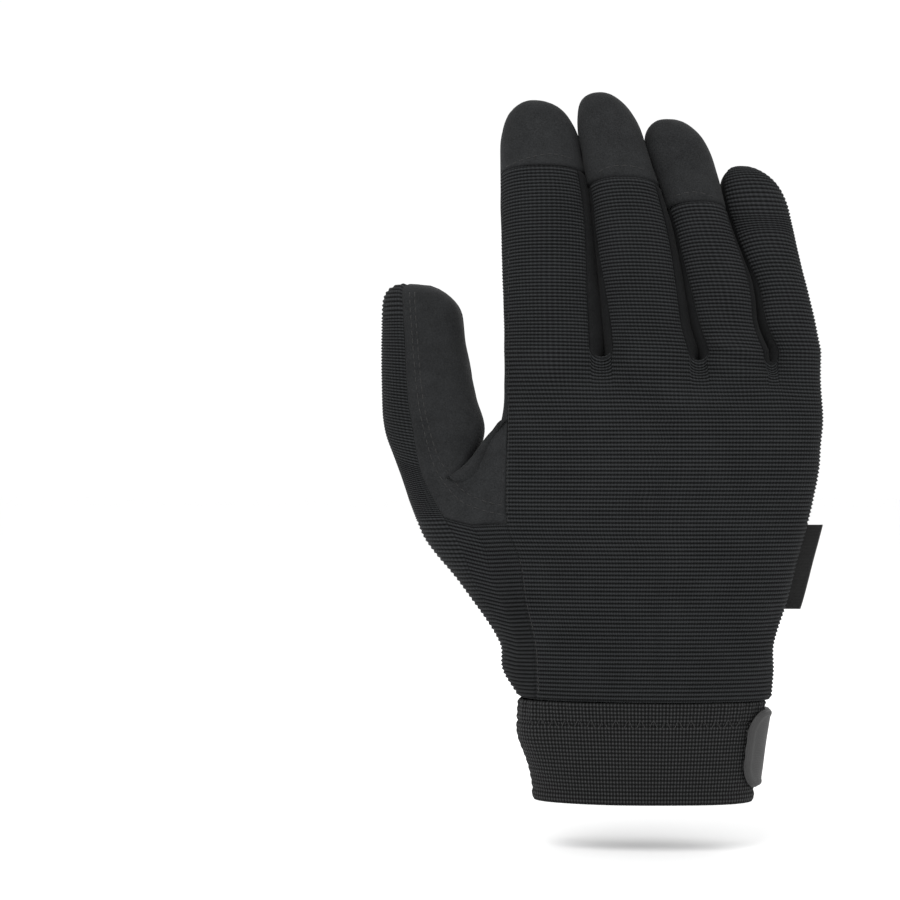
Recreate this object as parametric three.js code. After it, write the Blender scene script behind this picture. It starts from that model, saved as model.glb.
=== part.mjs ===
// Mechanic glove for the right hand, filled as if worn and held upright.
// Millimetres. +Z runs up the fingers, the back of the hand faces -Y and the little finger is at +X.
// The origin is the middle of the wrist opening, at the cuff's rim.
//
// The outer surface is one skin of named patches. Each panel of cloth is a wall under some of
// these patches, with a small gap to its neighbours along every seam.
import * as THREE from "three";

// Driving dimensions
const cuffHeight = 34.5;
const cuffRimWidth = 74.8;
const cuffTopWidth = 84.4;
const cuffRimDepth = 33;
const cuffTopDepth = 36;
const palmLength = 118.5;
const palmWidth = 108;
const palmDepth = 35;
const thumbLength = 67.5;
const indexLength = 86.7;
const middleLength = 89.5;
const ringLength = 80;
const pinkyLength = 63.5;
const thumbTipRound = 12;
const fingerTipRound = 17;
const fingerSpacing = 0.8;

const knitWall = 1.8;
const suedeWall = 1.2;
const sideStripWall = 1.1;
const elasticWall = 1.8;
const strapWall = 1.8;
const padWall = 1.4;
const patchWall = 0.8;
const bindingWall = 0.9;
const seamGap = 0.3;
const seamWall = 1;

const ventHeight = 49.5;
const strapHeight = 26.5;
const strapCornerRadius = 9;
const strapMiddle = 18.5;
const padHeight = 22.5;
const padCornerRadius = 9;
const bindingWidth = 5.5;
const tagLength = 29;
const tagReach = 6;
const tagThickness = 1.4;
const tagSeat = 0.8;
const tagRise = 0.254;

// Numbers of cells across each stretch of the skin
const cells = {
  fingerBack: 5,
  pinkyOuter: 3,
  fingerPalm: 5,
  web: 2,
  side: 3,
  indexOuter: 5,
  thumbWeb: 4,
  thumbKnit: 5,
  thumbEdge: 2,
  thumbPalm: 5,
  thumbInner: 5,
  lowerRows: 8,
  patchRows: 5,
  knuckleRows: 4,
  fingerRows: 5,
  capRows: 2,
  tipRows: 5,
  thumbRows: 5,
  cuffAround: 36,
  cuffRows: 3,
  strapAround: 22,
  strapRows: 4,
};

const cuffTop = cuffHeight + seamGap;
const crotchHeight = cuffTop + palmLength;
const degrees = Math.PI / 180;

const table = (names, ...rows) =>
  rows.map((row) => Object.fromEntries(names.map((name, i) => [name, row[i]])));

// The hand without its thumb: rise is a share of palmLength, left, right and seam are shares of
// palmWidth, depth is a share of palmDepth, and boxiness is the exponent of the oval.
// seam is the place of the seam between the back of the hand and the thumb, and palmEnd the angle
// where the palm meets the thumb's lobe.
const handSections = table(
  ["rise", "left", "right", "seam", "depth", "boxiness", "palmEnd"],
  [0.0, -0.39, 0.405, -0.334, 1.029, 2.2, -110],
  [0.08, -0.432, 0.413, -0.336, 1.01, 2.2, -111],
  [0.16, -0.452, 0.416, -0.341, 1.0, 2.25, -113],
  [0.28, -0.5, 0.458, -0.372, 1.0, 2.3, -120],
  [0.4, -0.54, 0.492, -0.388, 1.0, 2.3, -127],
  [0.5, -0.545, 0.52, -0.426, 1.0, 2.35, -131],
  [0.65, -0.5, 0.555, -0.43, 0.98, 2.4, -141],
  [0.73, -0.467, 0.563, -0.43, 0.96, 2.45, -142],
  [0.8, -0.446, 0.57, -0.43, 0.93, 2.5, -142],
  [0.9, -0.437, 0.566, -0.43, 0.88, 2.5, -142],
  [1.0, -0.434, 0.556, -0.43, 0.83, 2.5, -142],
);

// The thumb's lobe: rise is a share of palmLength, middle and width are shares of palmWidth,
// offset and depth are shares of palmDepth, and the angles are in degrees, 90 at the back and
// 180 at the outer edge. knitEdge is where knit meets suede on the back, webEdge where the crotch
// begins, palmSeam where knit meets the palm's suede and palmEdge where the palm begins.
const thumbSections = table(
  ["rise", "middle", "width", "offset", "depth", "knitEdge", "webEdge", "palmSeam", "palmEdge"],
  [0.0, 0.0105, 0.801, 0.0, 1.029, 165, 157, 218, 235],
  [0.08, -0.04, 0.81, 0.0, 1.01, 161, 151, 219, 239],
  [0.16, -0.17, 0.57, 0.01, 1.0, 154, 140, 220, 245],
  [0.32, -0.385, 0.37, 0.05, 0.98, 134, 112, 218, 262],
  [0.45, -0.53, 0.315, 0.09, 0.95, 106, 82, 214, 280],
  [0.56, -0.6, 0.281, 0.12, 0.89, 109, 84, 210, 292],
  [0.65, -0.648, 0.25, 0.15, 0.83, 112, 84, 207, 300],
  [0.78, -0.665, 0.32, 0.18, 0.8, 111, 80, 205, 305],
  [0.87, -0.684, 0.304, 0.21, 0.77, 111, 74, 205, 308],
  [1.02, -0.7, 0.27, 0.26, 0.71, 112, 70, 205, 310],
  [1.1, -0.704, 0.258, 0.28, 0.68, 114, 68, 205, 310],
  [1.2, -0.712, 0.235, 0.31, 0.62, 116, 68, 205, 310],
);

// Where the fingers' edges run: rise is a share of the middle finger's length above the crotches,
// and the others are shares of palmWidth, from the outer side of the index to that of the pinky.
const fingerEdges = table(
  ["rise", "outer", "indexMiddle", "middleRing", "ringPinky", "pinkySide"],
  [0.0, -0.434, -0.12, 0.176, 0.394, 0.556],
  [0.1, -0.434, -0.125, 0.15, 0.361, 0.54],
  [0.25, -0.439, -0.137, 0.129, 0.345, 0.515],
  [0.45, -0.444, -0.153, 0.098, 0.287, 0.479],
  [0.6, -0.447, -0.166, 0.064, 0.253, 0.457],
  [0.75, -0.449, -0.19, 0.022, 0.225, 0.447],
  [1.0, -0.45, -0.222, -0.045, 0.185, 0.42],
);

// The fingers: offsets and curl are shares of palmDepth, positive to the palm; baseDepth and
// tipDepth are shares of palmDepth too; cap is the height of the fingertip's seam as a share of
// the finger's length; apex is the tip's place as a share of palmWidth; yaw and the rest are
// angles in degrees, 0 at the little-finger side and 90 at the back: where the back's knit begins
// and ends, and where the palm's suede begins and ends.
const fingers = table(
  ["name", "left", "right", "length", "offset", "curl", "baseDepth", "tipDepth", "cap", "apex",
    "yaw", "backFrom", "backTo", "palmFrom", "palmTo"],
  ["index", "outer", "indexMiddle", indexLength, 0.0, 0.38, 0.77, 0.6, 0.7, -0.34,
    -3, 172, 50, -50, -145],
  ["middle", "indexMiddle", "middleRing", middleLength, -0.01, 0.4, 0.8, 0.61, 0.627, -0.138,
    2, 134, 22, -42, -138],
  ["ring", "middleRing", "ringPinky", ringLength, 0.02, 0.38, 0.73, 0.56, 0.6, 0.078,
    8, 136, 22, -42, -138],
  ["pinky", "ringPinky", "pinkySide", pinkyLength, 0.08, 0.34, 0.62, 0.52, 0.6, 0.31,
    14, 134, -25, -25, -138],
);

const thumbApex = -0.742;
const thumbTilt = 0.05;
const fingerTilt = 0.3;
const fingerBoxiness = 2.35;
const tipBoxiness = 2.6;
const pinkySeamAngle = -20;
const ventHalfAngle = 6;
const strapFrom = 33;
const strapTo = -146;
const padFrom = -46;
const padTo = -138;

// Heights of the skin's rows as shares of palmLength. patch is the row where the suede of the
// crotch begins, thumb the row where the thumb parts from the hand, and crotch the row where the
// fingers part.
const levels = table(
  ["place", "patch", "thumb", "crotch"],
  ["back_left", 0.503, 0.799, 1.012],
  ["back_right", 0.503, 0.799, 0.985],
  ["palm_right", 0.503, 0.799, 0.985],
  ["palm_middle", 0.5, 0.76, 0.941],
  ["palm_left", 0.49, 0.637, 0.941],
  ["thumb_palm", 0.49, 0.605, 0],
  ["thumb_palm_seam", 0.5, 0.655, 0],
  ["thumb_outer", 0.515, 0.69, 0],
  ["knit_edge", 0.52, 0.668, 0],
  ["web_edge", 0.5, 0.634, 0],
);
const level = Object.fromEntries(levels.map((row) => [row.place, row]));

const mix = (a, b, share) => a + (b - a) * share;
const clamp01 = (value) => Math.min(1, Math.max(0, value));
const smooth = (value) => clamp01(value) ** 2 * (3 - 2 * clamp01(value));

// Smooth curve through one column of a table
function read(rows, column, rise) {
  const last = rows.length - 1;
  if (rise <= rows[0].rise) return rows[0][column];
  if (rise >= rows[last].rise) return rows[last][column];
  let i = 0;
  while (rise > rows[i + 1].rise) i += 1;
  const slope = (k) => {
    const low = rows[Math.max(0, k - 1)];
    const high = rows[Math.min(last, k + 1)];
    return (high[column] - low[column]) / (high.rise - low.rise);
  };
  const span = rows[i + 1].rise - rows[i].rise;
  const t = (rise - rows[i].rise) / span;
  const a = rows[i][column];
  const b = rows[i + 1][column];
  return (
    a * (1 + 2 * t) * (1 - t) ** 2 +
    slope(i) * span * t * (1 - t) ** 2 +
    b * t * t * (3 - 2 * t) -
    slope(i + 1) * span * t * t * (1 - t)
  );
}

// Point of an oval with rounded corners, at an angle from +X, with 90 degrees at the back (-Y)
function ovalPoint(oval, angle) {
  const power = 2 / oval.boxiness;
  const c = Math.cos(angle * degrees);
  const s = Math.sin(angle * degrees);
  const across = oval.halfWidth * Math.sign(c) * Math.abs(c) ** power;
  const back = oval.halfDepth * Math.sign(s) * Math.abs(s) ** power;
  const yaw = (oval.yaw ?? 0) * degrees;
  return {
    x: oval.x + across * Math.cos(yaw) + back * Math.sin(yaw),
    y: oval.y + across * Math.sin(yaw) - back * Math.cos(yaw),
  };
}

const riseOf = (z) => (z - cuffTop) / palmLength;

function handOval(z) {
  const rise = riseOf(z);
  const left = read(handSections, "left", rise) * palmWidth;
  const right = read(handSections, "right", rise) * palmWidth;
  return {
    x: (left + right) / 2,
    y: 0,
    halfWidth: (right - left) / 2,
    halfDepth: (read(handSections, "depth", rise) * palmDepth) / 2,
    boxiness: read(handSections, "boxiness", rise),
  };
}

function thumbOval(z) {
  const rise = riseOf(z);
  const get = (column) => read(thumbSections, column, rise);
  return {
    x: get("middle") * palmWidth,
    y: get("offset") * palmDepth,
    halfWidth: (get("width") * palmWidth) / 2,
    halfDepth: (get("depth") * palmDepth) / 2,
    boxiness: 2.2,
  };
}

const thumbAngle = (column, z) => read(thumbSections, column, riseOf(z));

function fingerOval(finger, z) {
  const rise = (z - crotchHeight) / middleLength;
  const left = read(fingerEdges, finger.left, rise) * palmWidth;
  const right = read(fingerEdges, finger.right, rise) * palmWidth;
  const share = clamp01((z - crotchHeight) / finger.length);
  const depth = mix(finger.baseDepth, finger.tipDepth, share);
  return {
    x: (left + right) / 2,
    y: (finger.offset + finger.curl * share ** 2) * palmDepth,
    halfWidth: (right - left) / 2 - fingerSpacing / 2,
    halfDepth: (depth * palmDepth) / 2,
    boxiness: fingerBoxiness,
    yaw: finger.yaw,
  };
}

// Angle at which the hand's oval meets the seam beside the thumb
function seamAngle(z) {
  const oval = handOval(z);
  const seam = read(handSections, "seam", riseOf(z)) * palmWidth;
  const share = Math.min(0.9995, (oval.x - seam) / oval.halfWidth);
  return 180 - Math.acos(share ** (oval.boxiness / 2)) / degrees;
}

// Angle a given share of the way along an oval's arc, by length
const arcSteps = 40;
function angleAlong(oval, from, to, share) {
  const lengths = [0];
  let before = ovalPoint(oval, from);
  for (let i = 1; i <= arcSteps; i += 1) {
    const point = ovalPoint(oval, mix(from, to, i / arcSteps));
    lengths.push(lengths[i - 1] + Math.hypot(point.x - before.x, point.y - before.y));
    before = point;
  }
  const wanted = share * lengths[arcSteps];
  let i = 0;
  while (i < arcSteps - 1 && lengths[i + 1] < wanted) i += 1;
  const inside = (wanted - lengths[i]) / (lengths[i + 1] - lengths[i]);
  return mix(from, to, (i + inside) / arcSteps);
}

const vector = (point, z) => new THREE.Vector3(point.x, point.y, z);
const heightOf = (share) => cuffTop + share * palmLength;

// A row is a zone of the skin and a share of the way up it
function rowHeight(row, at) {
  if (row.zone === "lower") return mix(cuffTop, heightOf(at.patch), row.share);
  if (row.zone === "patch") return mix(heightOf(at.patch), heightOf(at.thumb), row.share);
  return mix(heightOf(at.thumb), heightOf(at.crotch), row.share);
}

const mixLevels = (a, b, share) => ({
  patch: mix(a.patch, b.patch, share),
  thumb: mix(a.thumb, b.thumb, share),
  crotch: mix(a.crotch, b.crotch, share),
});

const backLevels = (share) => mixLevels(level.back_left, level.back_right, smooth(share));
const palmLevels = (share) =>
  share < 0.5
    ? mixLevels(level.palm_right, level.palm_middle, smooth(share * 2))
    : mixLevels(level.palm_middle, level.palm_left, smooth(share * 2 - 1));

// Share of the way across the back or the palm at which a finger's corner lies
function cornerShare(side, x) {
  const samples = 200;
  let best = 0;
  let bestDistance = Infinity;
  for (let i = 0; i <= samples; i += 1) {
    const share = i / samples;
    const at = side === "back" ? backLevels(share) : palmLevels(share);
    const distance = Math.abs(handSidePoint(side, heightOf(at.crotch), share).x - x);
    if (distance < bestDistance) {
      bestDistance = distance;
      best = share;
    }
  }
  return best;
}

const palmEndAngle = (z) => read(handSections, "palmEnd", riseOf(z));

// Half of the vent's opening in the side seam, as an angle: widest at the cuff, closed at its top
function ventAngle(z) {
  const left = clamp01((ventHeight - z) / (ventHeight - cuffTop));
  return ventHalfAngle * Math.sqrt(left);
}

function handSidePoint(side, z, share) {
  const oval = handOval(z);
  const [from, to] = side === "back"
    ? [seamAngle(z), pinkySeamAngle + ventAngle(z)]
    : [pinkySeamAngle - ventAngle(z), palmEndAngle(z)];
  return ovalPoint(oval, angleAlong(oval, from, to, share));
}

// The stretches across the back or the palm: a finger's own width, or the web between two
function stretches(side) {
  const order = side === "back" ? fingers : [...fingers].reverse();
  const list = [];
  order.forEach((finger, i) => {
    const from = side === "back" ? finger.backFrom : finger.palmFrom;
    const to = side === "back" ? finger.backTo : finger.palmTo;
    const crotch = heightOf(side === "back" ? 1 : level.palm_left.crotch);
    const oval = fingerOval(finger, crotch);
    const start = i === 0 ? 0 : cornerShare(side, ovalPoint(oval, from).x);
    const end = i === order.length - 1 ? 1 : cornerShare(side, ovalPoint(oval, to).x);
    if (i > 0) {
      const previous = list[list.length - 1];
      list.push({ web: true, start: previous.end, end: start, count: cells.web });
    }
    const extra = side === "back" && finger.name === "pinky" ? cells.pinkyOuter : 0;
    const count = (side === "back" ? cells.fingerBack : cells.fingerPalm) + extra;
    list.push({ finger, from, to, start, end, count });
  });
  return list;
}

const stretchesOf = { back: stretches("back"), palm: stretches("palm") };

// Points of one row across one stretch. Towards the crotches the hand's oval turns into the
// fingers' own ovals.
function stretchRow(side, index, row) {
  const list = stretchesOf[side];
  const stretch = list[index];
  const blend = row.zone === "knuckles" ? smooth(row.share) : 0;
  const levelsAt = side === "back" ? backLevels : palmLevels;
  const corner = (neighbour, atEnd, z) =>
    ovalPoint(fingerOval(neighbour.finger, z), atEnd ? neighbour.to : neighbour.from);
  const points = [];
  for (let j = 0; j <= stretch.count; j += 1) {
    const inside = j / stretch.count;
    const share = mix(stretch.start, stretch.end, inside);
    const z = rowHeight(row, levelsAt(share));
    const hand = handSidePoint(side, z, share);
    let own;
    if (stretch.web) {
      const a = corner(list[index - 1], true, z);
      const b = corner(list[index + 1], false, z);
      own = { x: mix(a.x, b.x, inside), y: mix(a.y, b.y, inside) };
    } else {
      own = ovalPoint(fingerOval(stretch.finger, z), mix(stretch.from, stretch.to, inside));
    }
    points.push(vector({ x: mix(hand.x, own.x, blend), y: mix(hand.y, own.y, blend) }, z));
  }
  return points;
}

// Outer side of the index finger, from the palm round to the seam, above the thumb's crotch
function indexSideRow(row) {
  const points = [];
  const blend = smooth(row.share);
  const index = fingers[0];
  for (let j = 0; j <= cells.indexOuter; j += 1) {
    const share = j / cells.indexOuter;
    const z = rowHeight(row, mixLevels(level.palm_left, level.back_left, share));
    const oval = handOval(z);
    const from = palmEndAngle(z) + 360;
    const hand = ovalPoint(oval, angleAlong(oval, from, seamAngle(z), share));
    const own = ovalPoint(fingerOval(index, z), mix(index.palmTo + 360, index.backFrom, share));
    points.push(vector({ x: mix(hand.x, own.x, blend), y: mix(hand.y, own.y, blend) }, z));
  }
  return points;
}

// Smooth bridge between two points with given directions
function bridge(a, directionA, b, directionB, share) {
  const reach = a.distanceTo(b);
  const t = share;
  return new THREE.Vector3()
    .addScaledVector(a, (1 + 2 * t) * (1 - t) ** 2)
    .addScaledVector(directionA, reach * t * (1 - t) ** 2)
    .addScaledVector(b, t * t * (3 - 2 * t))
    .addScaledVector(directionB, -reach * t * t * (1 - t));
}

function ovalDirection(oval, angle, turn) {
  const a = ovalPoint(oval, angle);
  const b = ovalPoint(oval, angle + turn);
  return new THREE.Vector3(b.x - a.x, b.y - a.y, 0).normalize();
}

// One row round the thumb's lobe, below its crotch, from the palm's edge to the seam
const thumbStretches = {
  palm_web: cells.thumbWeb,
  palm: cells.thumbPalm,
  knit: cells.thumbKnit,
  edge: cells.thumbEdge,
  back_web: cells.thumbWeb,
};

function thumbRow(name, row) {
  const count = thumbStretches[name];
  const points = [];
  for (let j = 0; j <= count; j += 1) {
    const share = j / count;
    points.push(thumbLobePoint(name, row, share));
  }
  return points;
}

function lobeAt(row, at, column) {
  const z = rowHeight(row, at);
  const oval = thumbOval(z);
  const angle = thumbAngle(column, z);
  return { z, oval, angle, point: vector(ovalPoint(oval, angle), z) };
}

const turnStep = 2;
function thumbLobePoint(name, row, share) {
  if (name === "palm_web") {
    const z = rowHeight(row, level.palm_left);
    const hand = handOval(z);
    const start = vector(ovalPoint(hand, palmEndAngle(z)), z);
    const end = lobeAt(row, level.thumb_palm, "palmEdge");
    return bridge(
      start, ovalDirection(hand, palmEndAngle(z), -turnStep),
      end.point, ovalDirection(end.oval, end.angle, -turnStep), share,
    );
  }
  if (name === "back_web") {
    const start = lobeAt(row, level.web_edge, "webEdge");
    const z = rowHeight(row, level.back_left);
    const hand = handOval(z);
    const end = vector(ovalPoint(hand, seamAngle(z)), z);
    return bridge(
      start.point, ovalDirection(start.oval, start.angle, -turnStep),
      end, ovalDirection(hand, seamAngle(z), -turnStep), share,
    );
  }
  const spans = {
    palm: ["thumb_palm", "palmEdge", "thumb_palm_seam", "palmSeam"],
    knit: ["thumb_palm_seam", "palmSeam", "knit_edge", "knitEdge"],
    edge: ["knit_edge", "knitEdge", "web_edge", "webEdge"],
  };
  const [fromPlace, fromAngle, toPlace, toAngle] = spans[name];
  const at = thumbLevels(fromPlace, toPlace, share);
  const z = rowHeight(row, at);
  const angle = mix(thumbAngle(fromAngle, z), thumbAngle(toAngle, z), share);
  return vector(ovalPoint(thumbOval(z), angle), z);
}

function thumbLevels(fromPlace, toPlace, share) {
  if (fromPlace !== "thumb_palm_seam") return mixLevels(level[fromPlace], level[toPlace], share);
  return share < 0.5
    ? mixLevels(level[fromPlace], level.thumb_outer, share * 2)
    : mixLevels(level.thumb_outer, level[toPlace], share * 2 - 1);
}

// The free thumb, above its crotch: one column of its loop, from the crotch's row to the tip
const thumbTip = cuffTop + level.web_edge.thumb * palmLength + thumbLength;
const thumbShoulder = thumbTip - thumbTipRound;

function limbTip(oval, apex, base, tip, tilt, angle, share) {
  const turn = (share * Math.PI) / 2;
  const scale = Math.cos(turn) ** (2 / tipBoxiness);
  const rise = Math.sin(turn) ** (2 / tipBoxiness);
  const round = ovalPoint({ ...oval, x: 0, y: 0 }, angle);
  const back = Math.sin(angle * degrees) * oval.halfDepth;
  return new THREE.Vector3(
    mix(oval.x, apex, rise ** 2) + round.x * scale,
    oval.y + round.y * scale,
    mix(base, tip, rise) + tilt * back * scale,
  );
}

function freeThumbPoint(step, fromPlace, toPlace, fromColumn, toColumn, share) {
  const at = fromPlace === "web_edge"
    ? mixLevels(level.web_edge, level.thumb_palm, share)
    : thumbLevels(fromPlace, toPlace, share);
  const z0 = heightOf(at.thumb);
  const angleAt = (z) => {
    const to = thumbAngle(toColumn, z) - (toColumn === "palmEdge" ? 360 : 0);
    return mix(thumbAngle(fromColumn, z), to, share);
  };
  const shoulderAngle = angleAt(thumbShoulder);
  const shoulder = thumbOval(thumbShoulder);
  const lift = thumbTilt * Math.sin(shoulderAngle * degrees) * shoulder.halfDepth;
  if (step <= cells.thumbRows) {
    const z = mix(z0, thumbShoulder + lift, step / cells.thumbRows);
    return vector(ovalPoint(thumbOval(z), angleAt(z)), z);
  }
  const tipShare = (step - cells.thumbRows) / cells.tipRows;
  return limbTip(
    shoulder, thumbApex * palmWidth, thumbShoulder, thumbTip, thumbTilt, shoulderAngle, tipShare,
  );
}

// One column of a finger's loop, from the crotch's row to the tip
function fingerPoint(finger, step, angle, z0) {
  const tip = crotchHeight + finger.length;
  const shoulderHeight = tip - fingerTipRound;
  const shoulder = fingerOval(finger, shoulderHeight);
  const lift = fingerTilt * Math.sin(angle * degrees) * shoulder.halfDepth;
  const capHeight = crotchHeight + finger.cap * finger.length;
  const capEnd = cells.fingerRows + cells.capRows;
  if (step <= capEnd) {
    const z = step <= cells.fingerRows
      ? mix(z0, capHeight + lift, step / cells.fingerRows)
      : mix(capHeight, shoulderHeight, (step - cells.fingerRows) / cells.capRows) + lift;
    return vector(ovalPoint(fingerOval(finger, z), angle), z);
  }
  const tipShare = (step - capEnd) / cells.tipRows;
  return limbTip(
    shoulder, finger.apex * palmWidth, shoulderHeight, tip, fingerTilt, angle, tipShare,
  );
}

// The skin: points shared by all patches, and the faces of each named patch
const skin = { points: [], ids: new Map(), patches: {} };

function pointId(point) {
  const key = [point.x, point.y, point.z].map((value) => Math.round(value * 1000)).join();
  if (!skin.ids.has(key)) {
    skin.ids.set(key, skin.points.length);
    skin.points.push(point.clone());
  }
  return skin.ids.get(key);
}

// Faces between rows of points. Rows go up and the points of a row go from left to right.
function addPatch(name, rows) {
  const ids = rows.map((row) => row.map(pointId));
  const faces = [];
  for (let i = 0; i + 1 < ids.length; i += 1) {
    for (let j = 0; j + 1 < ids[i].length; j += 1) {
      const corners = [ids[i][j], ids[i][j + 1], ids[i + 1][j + 1], ids[i + 1][j]];
      const [a, b, c, d] = corners;
      if (a !== b && b !== c && a !== c) faces.push([a, b, c]);
      if (a !== c && c !== d && a !== d) faces.push([a, c, d]);
    }
  }
  skin.patches[name] = (skin.patches[name] ?? []).concat(faces);
}

const range = (count) => Array.from({ length: count + 1 }, (unused, i) => i);
const rowsOf = (zone, count) => range(count).map((i) => ({ zone, share: i / count }));
const lowerRows = rowsOf("lower", cells.lowerRows);
const patchRows = rowsOf("patch", cells.patchRows);
const knuckleRows = rowsOf("knuckles", cells.knuckleRows);
const handRows = [lowerRows, patchRows, knuckleRows];

for (const side of ["back", "palm"]) {
  stretchesOf[side].forEach((stretch, index) => {
    for (const rows of handRows) {
      addPatch(`hand_${side}`, rows.map((row) => stretchRow(side, index, row)));
    }
  });
}
addPatch("index_side", knuckleRows.map(indexSideRow));
for (const name of Object.keys(thumbStretches)) {
  addPatch(`thumb_${name}_lower`, lowerRows.map((row) => thumbRow(name, row)));
  addPatch(`thumb_${name}_upper`, patchRows.map((row) => thumbRow(name, row)));
}

// Surface spanned by four boundary rows of points
function spanned(near, far, left, right) {
  return left.map((unused, i) => {
    const v = i / (left.length - 1);
    return near.map((unusedToo, j) => {
      const u = j / (near.length - 1);
      const point = new THREE.Vector3()
        .addScaledVector(near[j], 1 - v)
        .addScaledVector(far[j], v)
        .addScaledVector(left[i], 1 - u)
        .addScaledVector(right[i], u)
        .addScaledVector(near[0], -(1 - u) * (1 - v))
        .addScaledVector(near[near.length - 1], -u * (1 - v))
        .addScaledVector(far[0], -(1 - u) * v)
        .addScaledVector(far[far.length - 1], -u * v);
      return point;
    });
  });
}

// Free thumb and the saddle of its crotch
const thumbLoop = {
  palm: ["thumb_palm", "thumb_palm_seam", "palmEdge", "palmSeam", cells.thumbPalm],
  knit: ["thumb_palm_seam", "knit_edge", "palmSeam", "knitEdge", cells.thumbKnit],
  edge: ["knit_edge", "web_edge", "knitEdge", "webEdge", cells.thumbEdge],
  inner: ["web_edge", "thumb_palm", "webEdge", "palmEdge", cells.thumbInner],
};
const thumbSteps = range(cells.thumbRows + cells.tipRows);
const thumbSpan = (name, step) => {
  const [fromPlace, toPlace, fromColumn, toColumn, count] = thumbLoop[name];
  return range(count).map((j) =>
    freeThumbPoint(step, fromPlace, toPlace, fromColumn, toColumn, j / count));
};
for (const name of Object.keys(thumbLoop)) {
  addPatch(`free_thumb_${name}`, thumbSteps.map((step) => thumbSpan(name, step)));
}
const topOfPatch = patchRows[patchRows.length - 1];
addPatch("thumb_saddle", spanned(
  thumbRow("back_web", topOfPatch),
  thumbRow("palm_web", topOfPatch).reverse(),
  thumbSpan("inner", 0),
  indexSideRow(knuckleRows[0]).reverse(),
));

// Fingers and the webs between them
const topRow = knuckleRows[knuckleRows.length - 1];
const stretchFor = (side, finger) => stretchesOf[side].findIndex((s) => s.finger === finger);
const fingerSteps = range(cells.fingerRows + cells.capRows + cells.tipRows);

function fingerColumns(finger) {
  const heights = (side) => stretchRow(side, stretchFor(side, finger), topRow).map((p) => p.z);
  const back = heights("back");
  const palm = heights("palm");
  const across = (from, to, list) =>
    list.map((z, j) => ({ angle: mix(from, to, j / (list.length - 1)), z }));
  const between = (from, to, fromZ, toZ, count) =>
    range(count).map((j) => ({ angle: mix(from, to, j / count), z: mix(fromZ, toZ, j / count) }));
  const { backFrom, backTo, palmFrom, palmTo } = finger;
  return {
    back: across(backFrom, backTo, back),
    right: between(backTo, palmFrom, back[back.length - 1], palm[0], cells.side),
    palm: across(palmFrom, palmTo, palm),
    left: between(
      palmTo + 360, backFrom, palm[palm.length - 1], back[0],
      finger.name === "index" ? cells.indexOuter : cells.side,
    ),
  };
}

const columnsOf = Object.fromEntries(fingers.map((f) => [f.name, fingerColumns(f)]));
const fingerSpan = (finger, side, step) =>
  columnsOf[finger.name][side].map(({ angle, z }) => fingerPoint(finger, step, angle, z));

for (const finger of fingers) {
  const cap = cells.fingerRows;
  for (const side of ["back", "right", "palm", "left"]) {
    if (finger.name === "pinky" && side === "right") continue;
    const below = fingerSteps.filter((step) => step <= cap);
    const above = fingerSteps.filter((step) => step >= cap);
    addPatch(`${finger.name}_${side}`, below.map((step) => fingerSpan(finger, side, step)));
    addPatch(`${finger.name}_${side}_tip`, above.map((step) => fingerSpan(finger, side, step)));
  }
}

fingers.slice(0, -1).forEach((finger, i) => {
  const next = fingers[i + 1];
  const backIndex = stretchFor("back", finger) + 1;
  const palmIndex = stretchFor("palm", next) + 1;
  addPatch(`web_${finger.name}`, spanned(
    stretchRow("back", backIndex, topRow),
    stretchRow("palm", palmIndex, topRow).reverse(),
    fingerSpan(finger, "right", 0),
    fingerSpan(next, "left", 0).reverse(),
  ));
});

// Dotted patches on the pads of the index finger and the thumb, over the palm's suede
const padSteps = (steps, from) => steps.filter((step) => step >= from && step < steps.length - 1);
addPatch("index_touch", padSteps(fingerSteps, cells.fingerRows).map((step) =>
  fingerSpan(fingers[0], "palm", step)));
addPatch("thumb_touch", padSteps(thumbSteps, cells.thumbRows - 1).map((step) =>
  thumbSpan("palm", step)));

// The cuff's oval narrows from the hand to the rim
function cuffOval(z) {
  const share = clamp01(z / cuffHeight);
  return {
    x: 0,
    y: 0,
    halfWidth: mix(cuffRimWidth, cuffTopWidth, share) / 2,
    halfDepth: mix(cuffRimDepth, cuffTopDepth, share) / 2,
    boxiness: handOval(cuffTop).boxiness,
  };
}

// Patch over the cuff between two angles, whose half height may change along it
function cuffPatch(name, from, to, columns, rows, middle, halfHeight) {
  const length = Math.abs(to - from);
  addPatch(name, range(rows).map((i) => range(columns).map((j) => {
    const share = j / columns;
    const z = middle + halfHeight(share * length, (1 - share) * length) * ((2 * i) / rows - 1);
    const oval = z > cuffHeight ? handOval(z) : cuffOval(z);
    return vector(ovalPoint(oval, mix(from, to, share)), z);
  })));
}

// Length of the cuff's arc for one degree, about the same all over the palm and the sides
const palmArc = ((cuffTopWidth + cuffTopDepth) / 4) * degrees;
const ventFrom = pinkySeamAngle - ventHalfAngle;
cuffPatch(
  "cuff", ventFrom, ventFrom - 360 + 2 * ventHalfAngle, cells.cuffAround, cells.cuffRows,
  cuffHeight / 2, () => cuffHeight / 2,
);

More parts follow.
